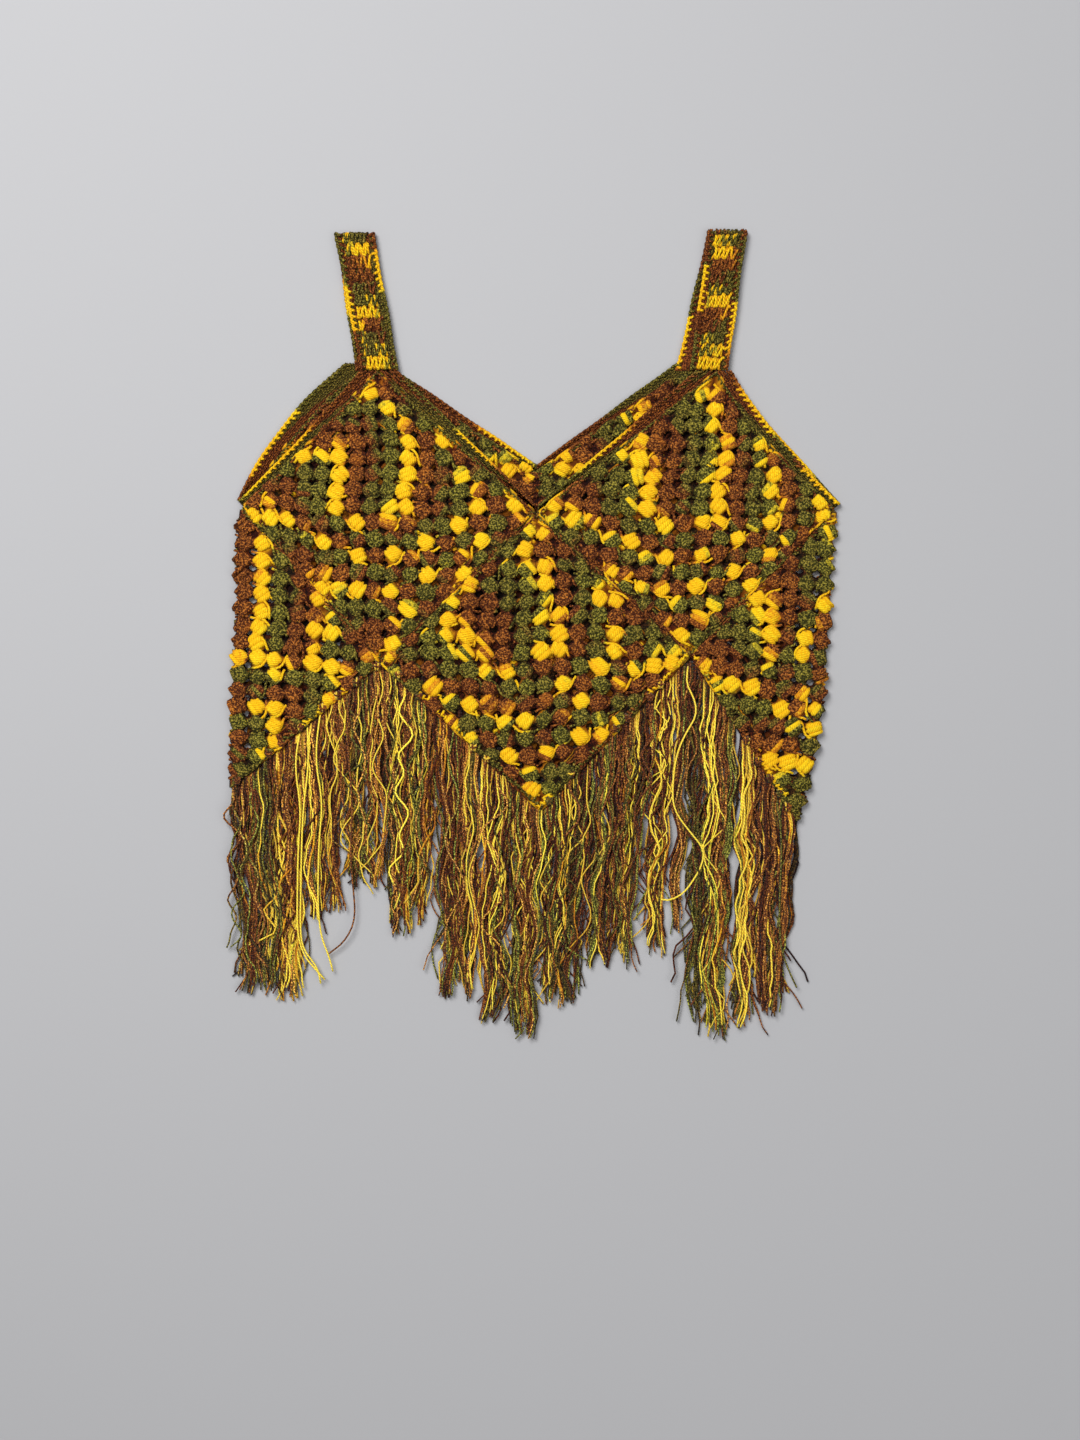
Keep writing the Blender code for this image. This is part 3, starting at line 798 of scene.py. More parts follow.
def lay(form, lines, places):
    """Puts lines in mm (across, outward, up) on each of the clusters of a form."""
    quarter = places[:, 4].astype(int)
    out = QUARTER_WAYS[quarter]
    across = np.stack((-out[:, 1], out[:, 0]), axis=-1)
    count = len(places)
    lean = chance.normal(0.0, CLUSTER_LEAN, count)
    size = chance.normal(1.0, CLUSTER_SIZE, count)
    nudge = chance.normal(0.0, CLUSTER_NUDGE, (count, 2))
    lift = chance.normal(0.0, CLUSTER_LIFT, count)
    spread = (slice(None),) + (None,) * (lines.ndim - 1)
    local = np.broadcast_to(lines, (count, *lines.shape)).copy()
    short = (places[:, 0] == ROUNDS)[spread] & (local[..., 1] > 0)
    local[..., 1] = np.where(short, local[..., 1] * LAST_ROUND_OUT, local[..., 1])
    turn = lean[spread]
    grow = size[spread]
    w = (local[..., 0] * np.cos(turn) - local[..., 1] * np.sin(turn)) * grow
    h = (local[..., 0] * np.sin(turn) + local[..., 1] * np.cos(turn)) * grow
    x_mm = w * across[:, 0][spread] + h * out[:, 0][spread] + nudge[:, 0][spread]
    y_mm = w * across[:, 1][spread] + h * out[:, 1][spread] + nudge[:, 1][spread]
    x = places[:, 2][spread] + x_mm * MM / form.cell[0]
    y = places[:, 3][spread] + y_mm * MM / form.cell[1]
    return form.chart(x, y, (local[..., 2] + lift[spread]) * MM)


def add_clusters(yarns, form, square, places, fine):
    """Adds the posts and the chain of each cluster. fine is for squares that show."""
    rings, sides = POST_MESH[fine]
    chain_rings, chain_sides = CHAIN_MESH[fine]
    parts = (
        (post_lines(rings), post_radius(rings), sides, POST_PRESS, POST_PLIES),
        (chain_line(chain_rings), CHAIN, chain_sides, 1.0, PLIES),
    )
    for lines, radius, sides, press, plies in parts:
        placed = lay(form, lines, places)
        number = places[:, 1][:, None, None] + lines[None, :, :, 0] / CLUSTER_PITCH
        run = dye_of(square, np.broadcast_to(places[:, 0][:, None, None], number.shape), number)
        run = run + chance.normal(0.0, CLUSTER_DYE, (len(places), lines.shape[0], 1))
        flat = placed.reshape(-1, *placed.shape[2:])
        light = np.tile(light_of(lines[..., 2]), (len(places), 1))
        yarns.add(flat, radius * MM, run.reshape(len(flat), -1), light, sides, press, plies)


# %% [markdown]
# ## The cloth behind the stitches
# Under the clusters lies the cloth itself, a thin shell on the form of the solid, with a real hole
# at each corner of the net. Its grid runs along the square's sides, three quads for each half cell,
# so the four quads round a hole can be left out and the rest stays an even mesh. It swells into
# each cluster and fills it, and it gets painted shade towards the holes. The back squares lie under
# the front ones, with the table close below, so their holes stay dimples, dark with painted shade.

# %% The ground of a square
FINE = 3  # quads from one crossing of the net to the next
BORDER_REACH = 1.12  # the grid's last line lies past the last round, and the chart stops it there
GROUND_THICK = 1.0 * MM
GROUND_LOW = 0.45 * MM  # below the middle of the layer
PUFF = 0.95 * MM
HOLE_CORNER = 0.72  # how far out a hole's corners stay, of the grid's own
OFF_CROSSING = 0.1  # in half cells: a grid point nearer than this lies on a crossing's line
GROUND_SWELL = (-0.4, 0.9)  # the swells that get the least and the most light
GROUND_LIGHT = (0.05, 0.8)  # at a hole and in a cluster's middle


def ground_run(square, x, y):
    """The dye of the round that crosses a point of the chart."""
    ring = np.clip(np.round(np.abs(x) + np.abs(y)), 1, ROUNDS)
    angle = np.mod(np.arctan2(y, x), 2 * math.pi)
    quarter = np.minimum((angle / (math.pi / 2)).astype(int), 3)
    turned = [(x, y), (y, -x), (-x, -y), (-y, x)]
    first = np.choose(quarter, [pair[0] for pair in turned])
    second = np.choose(quarter, [pair[1] for pair in turned])
    return dye_of(square, ring, quarter * ring + (second - first + ring - 1) / 2)


def make_ground(name, form, square):
    """The cloth of a square: its grid, its holes, and its corners drawn in round each hole."""
    steps = np.arange(-ROUNDS * FINE, ROUNDS * FINE + 1) / FINE
    steps = np.concatenate(([-ROUNDS * BORDER_REACH], steps, [ROUNDS * BORDER_REACH]))
    one, other = np.meshgrid(steps, steps, indexing="ij")
    near_one = np.round(one)
    near_other = np.round(other)
    crossing = np.mod(near_one + near_other, 2) == 0
    inside = (np.abs(near_one) < ROUNDS) & (np.abs(near_other) < ROUNDS) & crossing
    away_one = one - near_one
    away_other = other - near_other
    off_one = np.abs(away_one) > OFF_CROSSING
    off_other = np.abs(away_other) > OFF_CROSSING
    corner = inside & off_one & off_other
    one = np.where(corner, near_one + away_one * HOLE_CORNER, one)
    other = np.where(corner, near_other + away_other * HOLE_CORNER, other)
    x = (one - other) / 2
    y = (one + other) / 2
    swell = -np.cos(math.pi * one) * np.cos(math.pi * other)
    points = form.chart(x, y, PUFF * swell - GROUND_LOW)
    points[..., 2] = np.maximum(points[..., 2], TABLE_CLEAR + GROUND_THICK / 2)
    size = len(steps)
    number = np.arange(size * size).reshape(size, size)
    quads = np.stack((number[:-1, :-1], number[1:, :-1], number[1:, 1:], number[:-1, 1:]), axis=-1)
    hole = inside & ~off_one & ~off_other & ("back" not in square)
    keep = ~(hole[:-1, :-1] | hole[1:, :-1] | hole[1:, 1:] | hole[:-1, 1:])
    quads = quads[keep]
    used, packed = np.unique(quads, return_inverse=True)
    shades = {
        "run": ground_run(square, x, y).ravel()[used],
        "light": np.interp(swell, GROUND_SWELL, GROUND_LIGHT).ravel()[used],
    }
    uvs = np.stack((one.ravel(), other.ravel()), axis=-1)[quads.ravel()]
    points = points.reshape(-1, 3)[used]
    cloth = mesh_piece(name, points, shades, [packed.reshape(-1, 4)], [uvs], granny_yarn)
    return walled(cloth)


def walled(cloth):
    """Gives a sheet its thickness."""
    wall = cloth.modifiers.new("Wall", "SOLIDIFY")
    wall.thickness = GROUND_THICK
    wall.offset = 0.0
    made_faces[cloth.name] *= 2
    return cloth


# %% [markdown]
# ## The edge of a square
# The squares are joined along their last round: a row of short stitches runs up to a chain along
# each side, and two chains meet with a thin groove between them. The hem has the same chain, but
# bolder, and it is scalloped, because nothing pulls its clusters straight. An edge's dye is charted
# as a few stops: the share along the edge, and the place in the round of dyes.

# %% Short stitches and a chain along a side
LEG_PITCH = 3.7  # mm
LEG = 0.85  # mm, radius
LEG_UNEVEN = 0.3  # mm
LEG_UP = (-0.3, 0.8)  # mm, the height of its ends and how much higher its middle is
LEG_ARCH = (0.2, 0.6)  # the part of a half wave that it rises over: the start and the length
LEG_SLANT = (0.3, 0.15)  # of the pitch: how far its head leans on, and how unevenly
SEAM_LEG = 3.0  # how deep the short stitches reach
SEAM_CHAIN_IN = 0.95  # from the side to the middle of its chain
SEAM_CHAIN = 0.8
SEAM_RIPPLE = (0.3, 0.35)  # mm, of the chain's links, sideways and up
CHAIN_LIFT = 0.1  # mm
HEM_WAVE = 0.9  # an open edge is scalloped by its clusters
HEM_SCALLOP = 19.0  # mm from one scallop to the next
HEM_UNEVEN = 0.25  # mm
HEM_LEG = 4.6
HEM_BOLD = 1.4  # how much thicker the yarn of an open edge lies than that of a seam
SEAM_DYES = (0.20, 0.78)  # the dark part of the dye, from green to brown
SEAM_STOPS = (0.0, 0.35, 0.7, 1.0)  # the shares along a seam at which its dye is drawn
HEM_DYES = {
    # square and its side: the dye as stops, for the edges that show yellow
    ("front_centre", 1): (
        (0.0, 0.60), (0.20, 0.80), (0.22, 0.90), (0.45, 1.11), (0.47, 1.2), (1.0, 1.5),
    ),
    ("front_centre", 2): (
        (0.0, 0.95), (0.08, 1.11), (0.12, 1.2), (0.72, 1.8), (0.75, 1.9), (0.92, 2.1),
    ),
    ("side_left", 1): (
        (0.0, 0.70), (0.14, 0.82), (0.16, 0.90), (0.52, 1.11), (0.55, 1.2), (1.0, 1.5),
    ),
    ("side_right", 1): (
        (0.0, 0.90), (0.10, 1.10), (0.14, 1.2), (0.60, 1.8), (0.64, 1.9), (0.84, 2.1),
        (0.87, 2.2), (1.0, 2.5),
    ),
}


def add_seam_edge(yarns, place, length, stops):
    """The edge along a side of length metres. place(share, inward, up) gives a point."""
    length = length / MM
    bold = 1.0 if stops is None else HEM_BOLD
    if stops is None:
        stops = [(share, chance.uniform(*SEAM_DYES)) for share in SEAM_STOPS]
    dye_share, dye_place = np.array(stops).T
    count = max(2, round(length / LEG_PITCH))
    grown = np.linspace(0.0, 1.0, 3)
    share = ((np.arange(count) + 0.5) / count)[:, None]
    deep = HEM_LEG if bold > 1 else SEAM_LEG
    deep = deep + chance.normal(0.0, LEG_UNEVEN * bold**3, (count, 1))
    inward = deep + (SEAM_CHAIN_IN - deep) * grown
    arch = np.sin(math.pi * (LEG_ARCH[0] + LEG_ARCH[1] * grown))
    up = np.broadcast_to(LEG_UP[0] + LEG_UP[1] * bold * arch, inward.shape)
    slant = chance.normal(*LEG_SLANT, (count, 1)) * LEG_PITCH / length * (grown - 0.5)
    legs = place(share + slant, inward * MM, up * MM)
    yarns.add(legs, LEG * bold * MM, np.interp(share, dye_share, dye_place), light_of(up))
    along = np.linspace(0.0, 1.0, 3 * count + 1)
    ripple = 2 * math.pi * count * along
    inward = SEAM_CHAIN_IN + SEAM_RIPPLE[0] * bold * np.sin(ripple)
    if bold > 1:
        inward = inward + HEM_WAVE * (1.0 + np.sin(2 * math.pi * length * along / HEM_SCALLOP))
        inward = inward + chance.normal(0.0, HEM_UNEVEN, along.shape)
    up = CHAIN_LIFT + SEAM_RIPPLE[1] * bold * np.cos(ripple)
    chain = place(along, inward * MM, up * MM)[None]
    yarns.add(chain, SEAM_CHAIN * MM, np.interp(along, dye_share, dye_place), light_of(up))


# %% The flat squares' forms
FLAT_SQUARES = {
    # square: (solid, reach across and down in cells, shift of the middle, fine)
    "front_left": ("front_square_left", (8.35, 8.75), (-0.25, -0.15), True),
    "front_centre": ("front_square_centre", (8.25, 8.7), (-0.28, 0.05), True),
    "front_right": ("front_square_right", (8.25, 8.75), (0.1, -0.15), True),
    "back_left": ("back_square_left", (8.3, 8.7), (0.45, 0.0), False),
    "back_centre": ("back_square_centre", (8.3, 8.7), (0.0, 0.45), False),
    "back_right": ("back_square_right", (8.3, 8.7), (-0.45, 0.0), False),
}
forms = {square: FlatSquare(*row[:3]) for square, row in FLAT_SQUARES.items()}
front_outlines.extend(forms[square].outline() for square in forms if "front" in square)
print("a cell of the net in mm:", [round(size / MM, 1) for size in forms["front_centre"].cell])


def finish_square(square, solid, yarns):
    """Makes a square's cloth and stitches, and hides the solid that they stand for."""
    cloth = make_ground(square + "_cloth", forms[square], square)
    stitches = yarns.piece(square + "_stitches", granny_yarn)
    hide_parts(solid)


for square, (solid, _, _, fine) in FLAT_SQUARES.items():
    yarns = Yarns()
    add_clusters(yarns, forms[square], square, CLUSTERS, fine)
    for number, (length, place) in enumerate(forms[square].sides()):
        add_seam_edge(yarns, place, length, HEM_DYES.get((square, number)))
    finish_square(square, solid, yarns)
print("triangles:", made_faces)

# %% [markdown]
# ## The squares at the sides
# A side square is folded along its upright diagonal, half of it in the front and half in the back.
# Its chart is the same as a flat square's, but a row of it starts at the fold, runs round a small
# half circle and then lies flat up to the seam, so no stitch is stretched over the fold.

# %% A folded square's chart
FOLD_ROWS = 15  # readings along the fold
END_WIDTH = 5.5 * MM  # the folded square's blunt ends
END_IN = 1.5 * MM  # how far inside its ends the first and last reading lie
NARROWEST = 0.75  # cells, the least width of a row at these ends
FOLD_READ = (0.02, 0.98)  # its height is read between these shares of the square, downwards,
FOLD_READ_ACROSS = (0.05, 0.97)  # and these, from the fold to the seam
NEAR_FOLD = 0.02  # cells, how near to the fold an edge's stitches may come
EDGE_STRETCH = 1.35  # an edge's stitches run at a slant to the rows, so they take up more of them


class FoldedSquare:
    """Where a point of a granny square's chart lies when the square is folded at x = 0."""

    def __init__(self, node, front, back, reach):
        tree = ray_tree(node)
        low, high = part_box(node)
        self.inward = 1.0 if low.x < 0 else -1.0
        self.reach = reach
        self.lower = BACK_MIDDLE
        self.radius = (FRONT_MIDDLE - BACK_MIDDLE) / 2
        outside = low.x - FEELER if low.x < 0 else high.x + FEELER
        self.rows = np.linspace(high.y - END_IN, low.y + END_IN, FOLD_ROWS)
        height = (FRONT_MIDDLE + BACK_MIDDLE) / 2
        way = Vector((self.inward, 0, 0))
        hits = [tree.ray_cast(Vector((outside, y, height)), way)[0] for y in self.rows]
        self.fold = np.array([hit.x for hit in hits])
        armpit = front.left if low.x < 0 else front.right
        end = np.array((END_WIDTH * self.inward, 0.0))
        start_point = np.array((self.fold[0], armpit[1])) + end
        end_point = np.array((self.fold[-1], self.rows[-1])) + end
        self.seams = [(start_point, side.bottom, end_point) for side in (front, back)]
        self.height = np.full((SWELL_GRID, SWELL_GRID), FRONT_MIDDLE)
        for i, share in enumerate(np.linspace(*FOLD_READ, SWELL_GRID)):
            for j, part in enumerate(np.linspace(*FOLD_READ_ACROSS, SWELL_GRID)):
                axis, seam = self.axis(np.array(share)), self.seam(np.array(share), 0)
                x, y = axis + (seam - axis) * part
                hit = hit_from(tree, x, y, 1)
                if hit is not None:
                    self.height[i, j] = hit.z - WALL / 2
        across = np.linalg.norm(self.seam(np.array(0.5), 0) - self.axis(np.array(0.5)))
        self.cell = (
            (across + self.radius * math.pi / 2) / reach[0],
            (self.rows[0] - self.rows[-1]) / (2 * reach[1]),
        )

    def axis(self, share):
        """The middle line of the fold."""
        y = self.rows[0] + (self.rows[-1] - self.rows[0]) * share
        x = np.interp(-y, -self.rows, self.fold) + self.inward * (self.radius + WALL / 2)
        return np.stack((x, y), axis=-1)

    def seam(self, share, layer):
        """The seam to the neighbour in the front (layer 0) or the back (1)."""
        start, waist, end = self.seams[layer]
        upper = np.clip(2 * share, 0, 1)[..., None]
        lower = np.clip(2 * share - 1, 0, 1)[..., None]
        return start + (waist - start) * upper + (end - waist) * lower

    def width(self, y):
        """How many cells a row holds from the fold to the seam."""
        return np.maximum(self.reach[0] * (1 - np.abs(y) / self.reach[1]), NARROWEST)

    def chart(self, x, y, up):
        """The point at (x, y) of the chart: past the fold it goes on in the other layer."""
        y = np.clip(y, -self.reach[1], self.reach[1])
        share = (1 - y / self.reach[1]) / 2
        width = self.width(y)
        part = np.clip(np.abs(x) / width, 0, 1)
        in_front = x * self.inward >= 0
        axis = self.axis(share)
        seam = np.where(in_front[..., None], self.seam(share, 0), self.seam(share, 1))
        span = np.linalg.norm(seam - axis, axis=-1)
        quarter = self.radius * math.pi / 2
        along = part * (span + quarter)
        angle = np.minimum(along / self.radius, math.pi / 2)
        flat = np.maximum(along - quarter, 0.0)
        place = axis + unit(seam - axis) * flat[..., None]
        outward = -self.inward * np.cos(angle)
        place_x = place[..., 0] + outward * (self.radius + up)
        rise = np.where(in_front, np.sin(angle), -np.sin(angle))
        top = bilinear(self.height, share, flat / np.maximum(span, 1e-6)) - self.lower
        z = self.lower + top * (1 + rise) / 2 + up * rise
        return np.stack((place_x, place[..., 1], z), axis=-1)

    def outline(self):
        """The front half, without the turn at the fold."""
        shares = np.linspace(0.0, 1.0, FOLD_ROWS)
        return np.concatenate((self.axis(shares), self.seam(np.array((1.0, 0.5, 0.0)), 0)))

    def sides(self):
        """The four seam sides: share along, mm inward from the seam, mm up."""

        def maker(layer, half):
            def place(share, inward, up):
                share, inward, up = np.broadcast_arrays(share, inward, up)
                whole = half * 0.5 + share * 0.5
                y = self.reach[1] * (1 - 2 * whole)
                x = np.maximum(self.width(y) - inward / self.cell[0] * EDGE_STRETCH, NEAR_FOLD)
                sign = self.inward if layer == 0 else -self.inward
                return self.chart(x * sign, y, up if layer == 0 else -up)

            return place

        made = []
        for layer in (0, 1):
            start, waist, end = self.seams[layer]
            made.append((np.linalg.norm(waist - start), maker(layer, 0)))
            made.append((np.linalg.norm(end - waist), maker(layer, 1)))
        return made


# %% The two side squares
SIDE_SQUARES = {
    # square: (solid, front neighbour, back neighbour, reach in cells)
    "side_left": ("side_square_left", "front_left", "back_left", (8.4, 8.6)),
    "side_right": ("side_square_right", "front_right", "back_right", (8.4, 8.6)),
}

for square, (solid, front, back, reach) in SIDE_SQUARES.items():
    forms[square] = FoldedSquare(solid, forms[front], forms[back], reach)
    front_outlines.append(forms[square].outline())
    yarns = Yarns()
    in_front = CLUSTERS[:, 2] * forms[square].inward > 0
    add_clusters(yarns, forms[square], square, CLUSTERS[in_front], True)
    add_clusters(yarns, forms[square], square, CLUSTERS[~in_front], False)
    for number, (length, place) in enumerate(forms[square].sides()):
        add_seam_edge(yarns, place, length, HEM_DYES.get((square, number)))
    finish_square(square, solid, yarns)
    print(square, "cell in mm:", [round(size / MM, 2) for size in forms[square].cell])

# %% [markdown]
# ## Neck and armhole edging
# The neck and the armholes are edged with rows of short stitches and, on the outer line, a thin
# firm rope of chain. The rope's own short stitches reach only a little way in, like the teeth of a
# comb, and the rows inside of them lie close, in dark dyes with painted shade. The dye of a run is
# charted as a few stops: the share along the run, and the place in the round of dyes.

# %% Comb, rope and the rows below, in mm
TOOTH_PITCH = 4.6
TOOTH = 0.8  # radius
TOOTH_DEEP = 3.1
TOOTH_UNEVEN = 0.35
TOOTH_UP = (0.1, 0.9)  # the height of its ends and how much higher its middle is
TOOTH_ARCH = (0.1, 0.6)  # the part of a half wave that it rises over: the start and the length
TOOTH_SLANT = (0.3, 0.15)  # of the pitch: how far its head leans on, and how unevenly
ROPE = 0.95
ROPE_IN = 0.9  # from the outer line to the middle of the rope
ROPE_RIPPLE = (0.25, 0.2)  # of its links, sideways and up
ROPE_UP = 0.5
ROPE_SWAY = 9.0  # along the rope for a radian of its slow sway
ROW_PITCH = 1.6
ROW_RIPPLE = 0.3
ROW_DOWN = 0.3
ROW_BELOW = 1.1  # radius of the rows below
ROWS_START = 1.0  # from the rope to the first of them
ROWS_PAST = 0.8  # how far past the square's edge the last one may lie
ROW_PLIES = (3, 2.4 * MM)
ROWS_LIGHT = 0.65
ROWS_DYE = (0.22, 0.75)  # they stay between these places of the dye, green to brown
ROWS_TURN = 170.0  # along a row, from green to brown and back
ROWS_APART = 0.07  # how far on in this turn the next row is


def add_edging(yarns, place, length, deep, stops, bold=1.0):
    """Edging deep mm wide along length metres. place(share, inward, up) gives a point."""
    length = length / MM
    dye_share, dye_place = np.array(stops).T
    count = max(2, round(length / TOOTH_PITCH))
    share = ((np.arange(count) + 0.5) / count)[:, None]
    grown = np.linspace(0.0, 1.0, 4)
    slant = chance.normal(*TOOTH_SLANT, (count, 1)) * TOOTH_PITCH / length * (grown - 0.5)
    start = bold * (TOOTH_DEEP + chance.normal(0.0, TOOTH_UNEVEN, (count, 1)))
    inward = start + (ROPE_IN - start) * grown
    arch = np.sin(math.pi * (TOOTH_ARCH[0] + TOOTH_ARCH[1] * grown))
    up = np.broadcast_to(TOOTH_UP[0] + TOOTH_UP[1] * arch, inward.shape)
    teeth = place(share + slant, inward * MM, up * MM)
    yarns.add(teeth, TOOTH * bold * MM, np.interp(share, dye_share, dye_place), light_of(up))
    along = np.linspace(0.0, 1.0, 3 * count + 1)
    ripple = 2 * math.pi * count * along
    sway = np.sin(ripple) + np.sin(along * length / ROPE_SWAY)
    inward = bold * (ROPE_IN + ROPE_RIPPLE[0] * sway)
    line = place(along, inward * MM, (ROPE_UP + ROPE_RIPPLE[1] * np.cos(ripple)) * MM)[None]
    rope = ROPE * bold * MM
    yarns.add(line, rope, np.interp(along, dye_share, dye_place), press=1 / bold)
    along = np.linspace(0.0, 1.0, 2 * count + 1)
    first = chance.uniform(0.0, 1.0)
    middle, reach = np.mean(ROWS_DYE), np.ptp(ROWS_DYE) / 2
    for number, inward in enumerate(np.arange(ROPE_IN + ROWS_START, deep + ROWS_PAST, ROW_PITCH)):
        ripple = ROW_RIPPLE * np.sin(math.pi * count * along + number * math.pi)
        up = np.full(along.shape, -ROW_DOWN * MM)
        row = place(along, (inward + ripple) * MM, up)[None]
        turn = np.sin(2 * math.pi * (first + along * length / ROWS_TURN + ROWS_APART * number))
        yarns.add(row, ROW_BELOW * MM, middle + reach * turn, ROWS_LIGHT, plies=ROW_PLIES)


# %% Edging
EDGINGS = {
    # solid: (square, corner at the run's end, how bold its comb is, the rope's dye as stops)
    "neck_edge_front_left": ("front_left", "right", 1.0, ((0.0, 1.58), (1.0, 0.56))),
    "neck_edge_front_right": ("front_right", "left", 1.15, ((0.0, 0.485), (1.0, 1.355))),
    "neck_edge_back_left": ("back_left", "right", 1.3, ((0.0, 0.35), (1.0, 1.16))),
    "neck_edge_back_right": ("back_right", "left", 1.1, ((0.0, 0.20), (1.0, 0.80))),
    "armhole_edge_front_left": ("front_left", "left", 1.1, ((0.0, 0.63), (1.0, 1.16))),
    "armhole_edge_front_right": (
        "front_right",
        "right",
        1.4,
        ((0.0, 0.78), (0.16, 0.885), (0.44, 1.12), (0.58, 1.30), (0.71, 1.88), (1.0, 2.10)),
    ),
    "armhole_edge_back_left": (
        "back_left",
        "left",
        1.5,
        ((0.0, 1.45), (0.36, 1.20), (0.40, 1.12), (0.84, 0.87), (0.88, 0.80), (1.0, 0.72)),
    ),
    "armhole_edge_back_right": ("back_right", "right", 1.0, ((0.0, 0.5), (1.0, 1.3))),
}


def edging_place(solid, form, start, end):
    """place(share, inward, up) on an edging solid, with its length and its width in the middle."""
    points = points_of(solid)
    along = unit(end - start)
    outward = np.array((along[1], -along[0]))
    if outward @ (start + end - form.top - form.bottom) < 0:
        outward = -outward
    outer_start = extreme(points, 2 * outward - along)
    outer_end = extreme(points, 2 * outward + along)
    rise = reach_out(ray_tree(solid), (outer_start + outer_end) / 2, outward)
    number = 0 if end[0] < start[0] else 1
    bow = form.bows[number] if "armhole" in solid else np.zeros(2)
    middle = FRONT_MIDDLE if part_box(solid)[1].z > 2 * WALL else BACK_MIDDLE
    width = np.linalg.norm((outer_start + outer_end) / 2 + outward * rise - (start + end) / 2 - bow)

    def place(share, inward, up):
        share, inward, up = np.broadcast_arrays(share, inward, up)
        share = np.clip(share, 0.0, 1.0)[..., None]
        swell = 4 * share * (1 - share)
        outer = outer_start + (outer_end - outer_start) * share + outward * rise * swell
        inner = start + (end - start) * share + bow * swell
        flat = outer + (inner - outer) * (inward / width)[..., None]
        return np.concatenate((flat, middle + up[..., None]), axis=-1)

    return place, np.linalg.norm(outer_end - outer_start), width


for solid, (square, end, bold, stops) in EDGINGS.items():
    form = forms[square]
    place, length, width = edging_place(solid, form, form.top, getattr(form, end))
    yarns = Yarns()
    add_edging(yarns, place, length, width / MM, stops, bold)
    edging = yarns.piece(solid.replace("edge", "edging"), edging_yarn)
    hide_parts(solid)
print("edgings:", len(EDGINGS))

# %% [markdown]
# ## Straps
# Each strap is a narrow band of rows of tall posts, which lean to and fro like a row of letters V,
# with comb and rope down both sides. It folds over at the shoulder and runs down behind. A row is
# one wavy line of yarn here, and a second one, half a wave on, fills the spaces of the first. The
# rows' heights, their lean and their places are all a little uneven, as a hand works them.

# %% A strap's form
STRAP_READINGS = 12  # along each of its sides, which are then taken as straight lines


class StrapForm:
    """Where a point of a strap lies: metres along from the front foot, share across, up."""

    def __init__(self, node):
        tree = ray_tree(node)
        low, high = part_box(node)
        self.radius = (FRONT_MIDDLE - BACK_MIDDLE) / 2
        self.foot = low.y
        self.axis = high.y - self.radius - WALL / 2
        self.rows = np.linspace(low.y, high.y, STRAP_READINGS)
        self.edges = []
        for height in (FRONT_MIDDLE, BACK_MIDDLE):
            lines = []
            for outside, way in ((low.x - FEELER, 1.0), (high.x + FEELER, -1.0)):
                starts = [Vector((outside, y, height)) for y in self.rows]
                hits = [tree.ray_cast(start, Vector((way, 0, 0)))[0] for start in starts]
                found = [(y, hit.x) for y, hit in zip(self.rows, hits) if hit is not None]
                inner = np.array(found)[1:-1]
                slope, level = np.polyfit(*inner.T, 1)
                lines.append(slope * self.rows + level)
            self.edges.append(lines)
        self.half = self.axis - self.foot
        self.length = 2 * self.half + math.pi * self.radius

    def at(self, along, across, up):
        """The point that lies there, raised by up from the middle of the cloth."""
        along, across, up = np.broadcast_arrays(along, across, up)
        arc = math.pi * self.radius
        angle = np.clip((along - self.half) / self.radius, 0.0, math.pi)
        behind = np.clip(along - self.half - arc, 0.0, self.half)
        y = self.foot + np.clip(along, 0.0, self.half) - behind
        x_front, x_back = [
            np.interp(y, self.rows, left) * (1 - across) + np.interp(y, self.rows, right) * across
            for left, right in self.edges
        ]
        share = angle / math.pi
        x = x_front * (1 - share) + x_back * share
        y = y + np.sin(angle) * (self.radius + up)
        z = BACK_MIDDLE + self.radius + np.cos(angle) * (self.radius + up)
        return np.stack((x, y, z), axis=-1)


# %% Rows of posts
STRAP_WIDTH = 29.0  # mm
STRAP_SIDE = 6.5  # mm, width of the border down each side
STRAP_ROW = 9.2  # mm, height of a row of posts
STRAP_POST = 1.1  # mm, radius
STRAP_BOLD = 1.45  # how much thicker and deeper a strap's comb and rope are
STRAP_LEAN = (1.6, 0.5)  # mm that a post's top stands aside of its foot, and how unevenly
STRAP_TALL = (1.05, 0.13)  # the height of a post, of its row's, and how uneven it is
STRAP_TUCK = 0.6  # mm that the rows reach in under the borders
WAVE_UNEVEN = 0.08  # of a wave
ROW_UNEVEN = 0.35  # mm along the strap
ROW_START = 0.04  # of a row's height, where its posts stand
POST_UP = (-0.1, 0.9)  # mm, the height of a wave's ends and how much higher its middle is
SECOND_LINE_UP = 0.35  # mm, how much higher a row's second line lies
WAVES = 3  # letters V across the strap
WAVE_RINGS = 12  # rings for each of them
STRAP_DEEP = (-0.1, 0.9)  # mm, the heights with the least and the full light
STRAP_DEEP_LIGHT = 0.4
SECOND_LINE_DYE = 0.12  # how far on in the dye a row's second line is


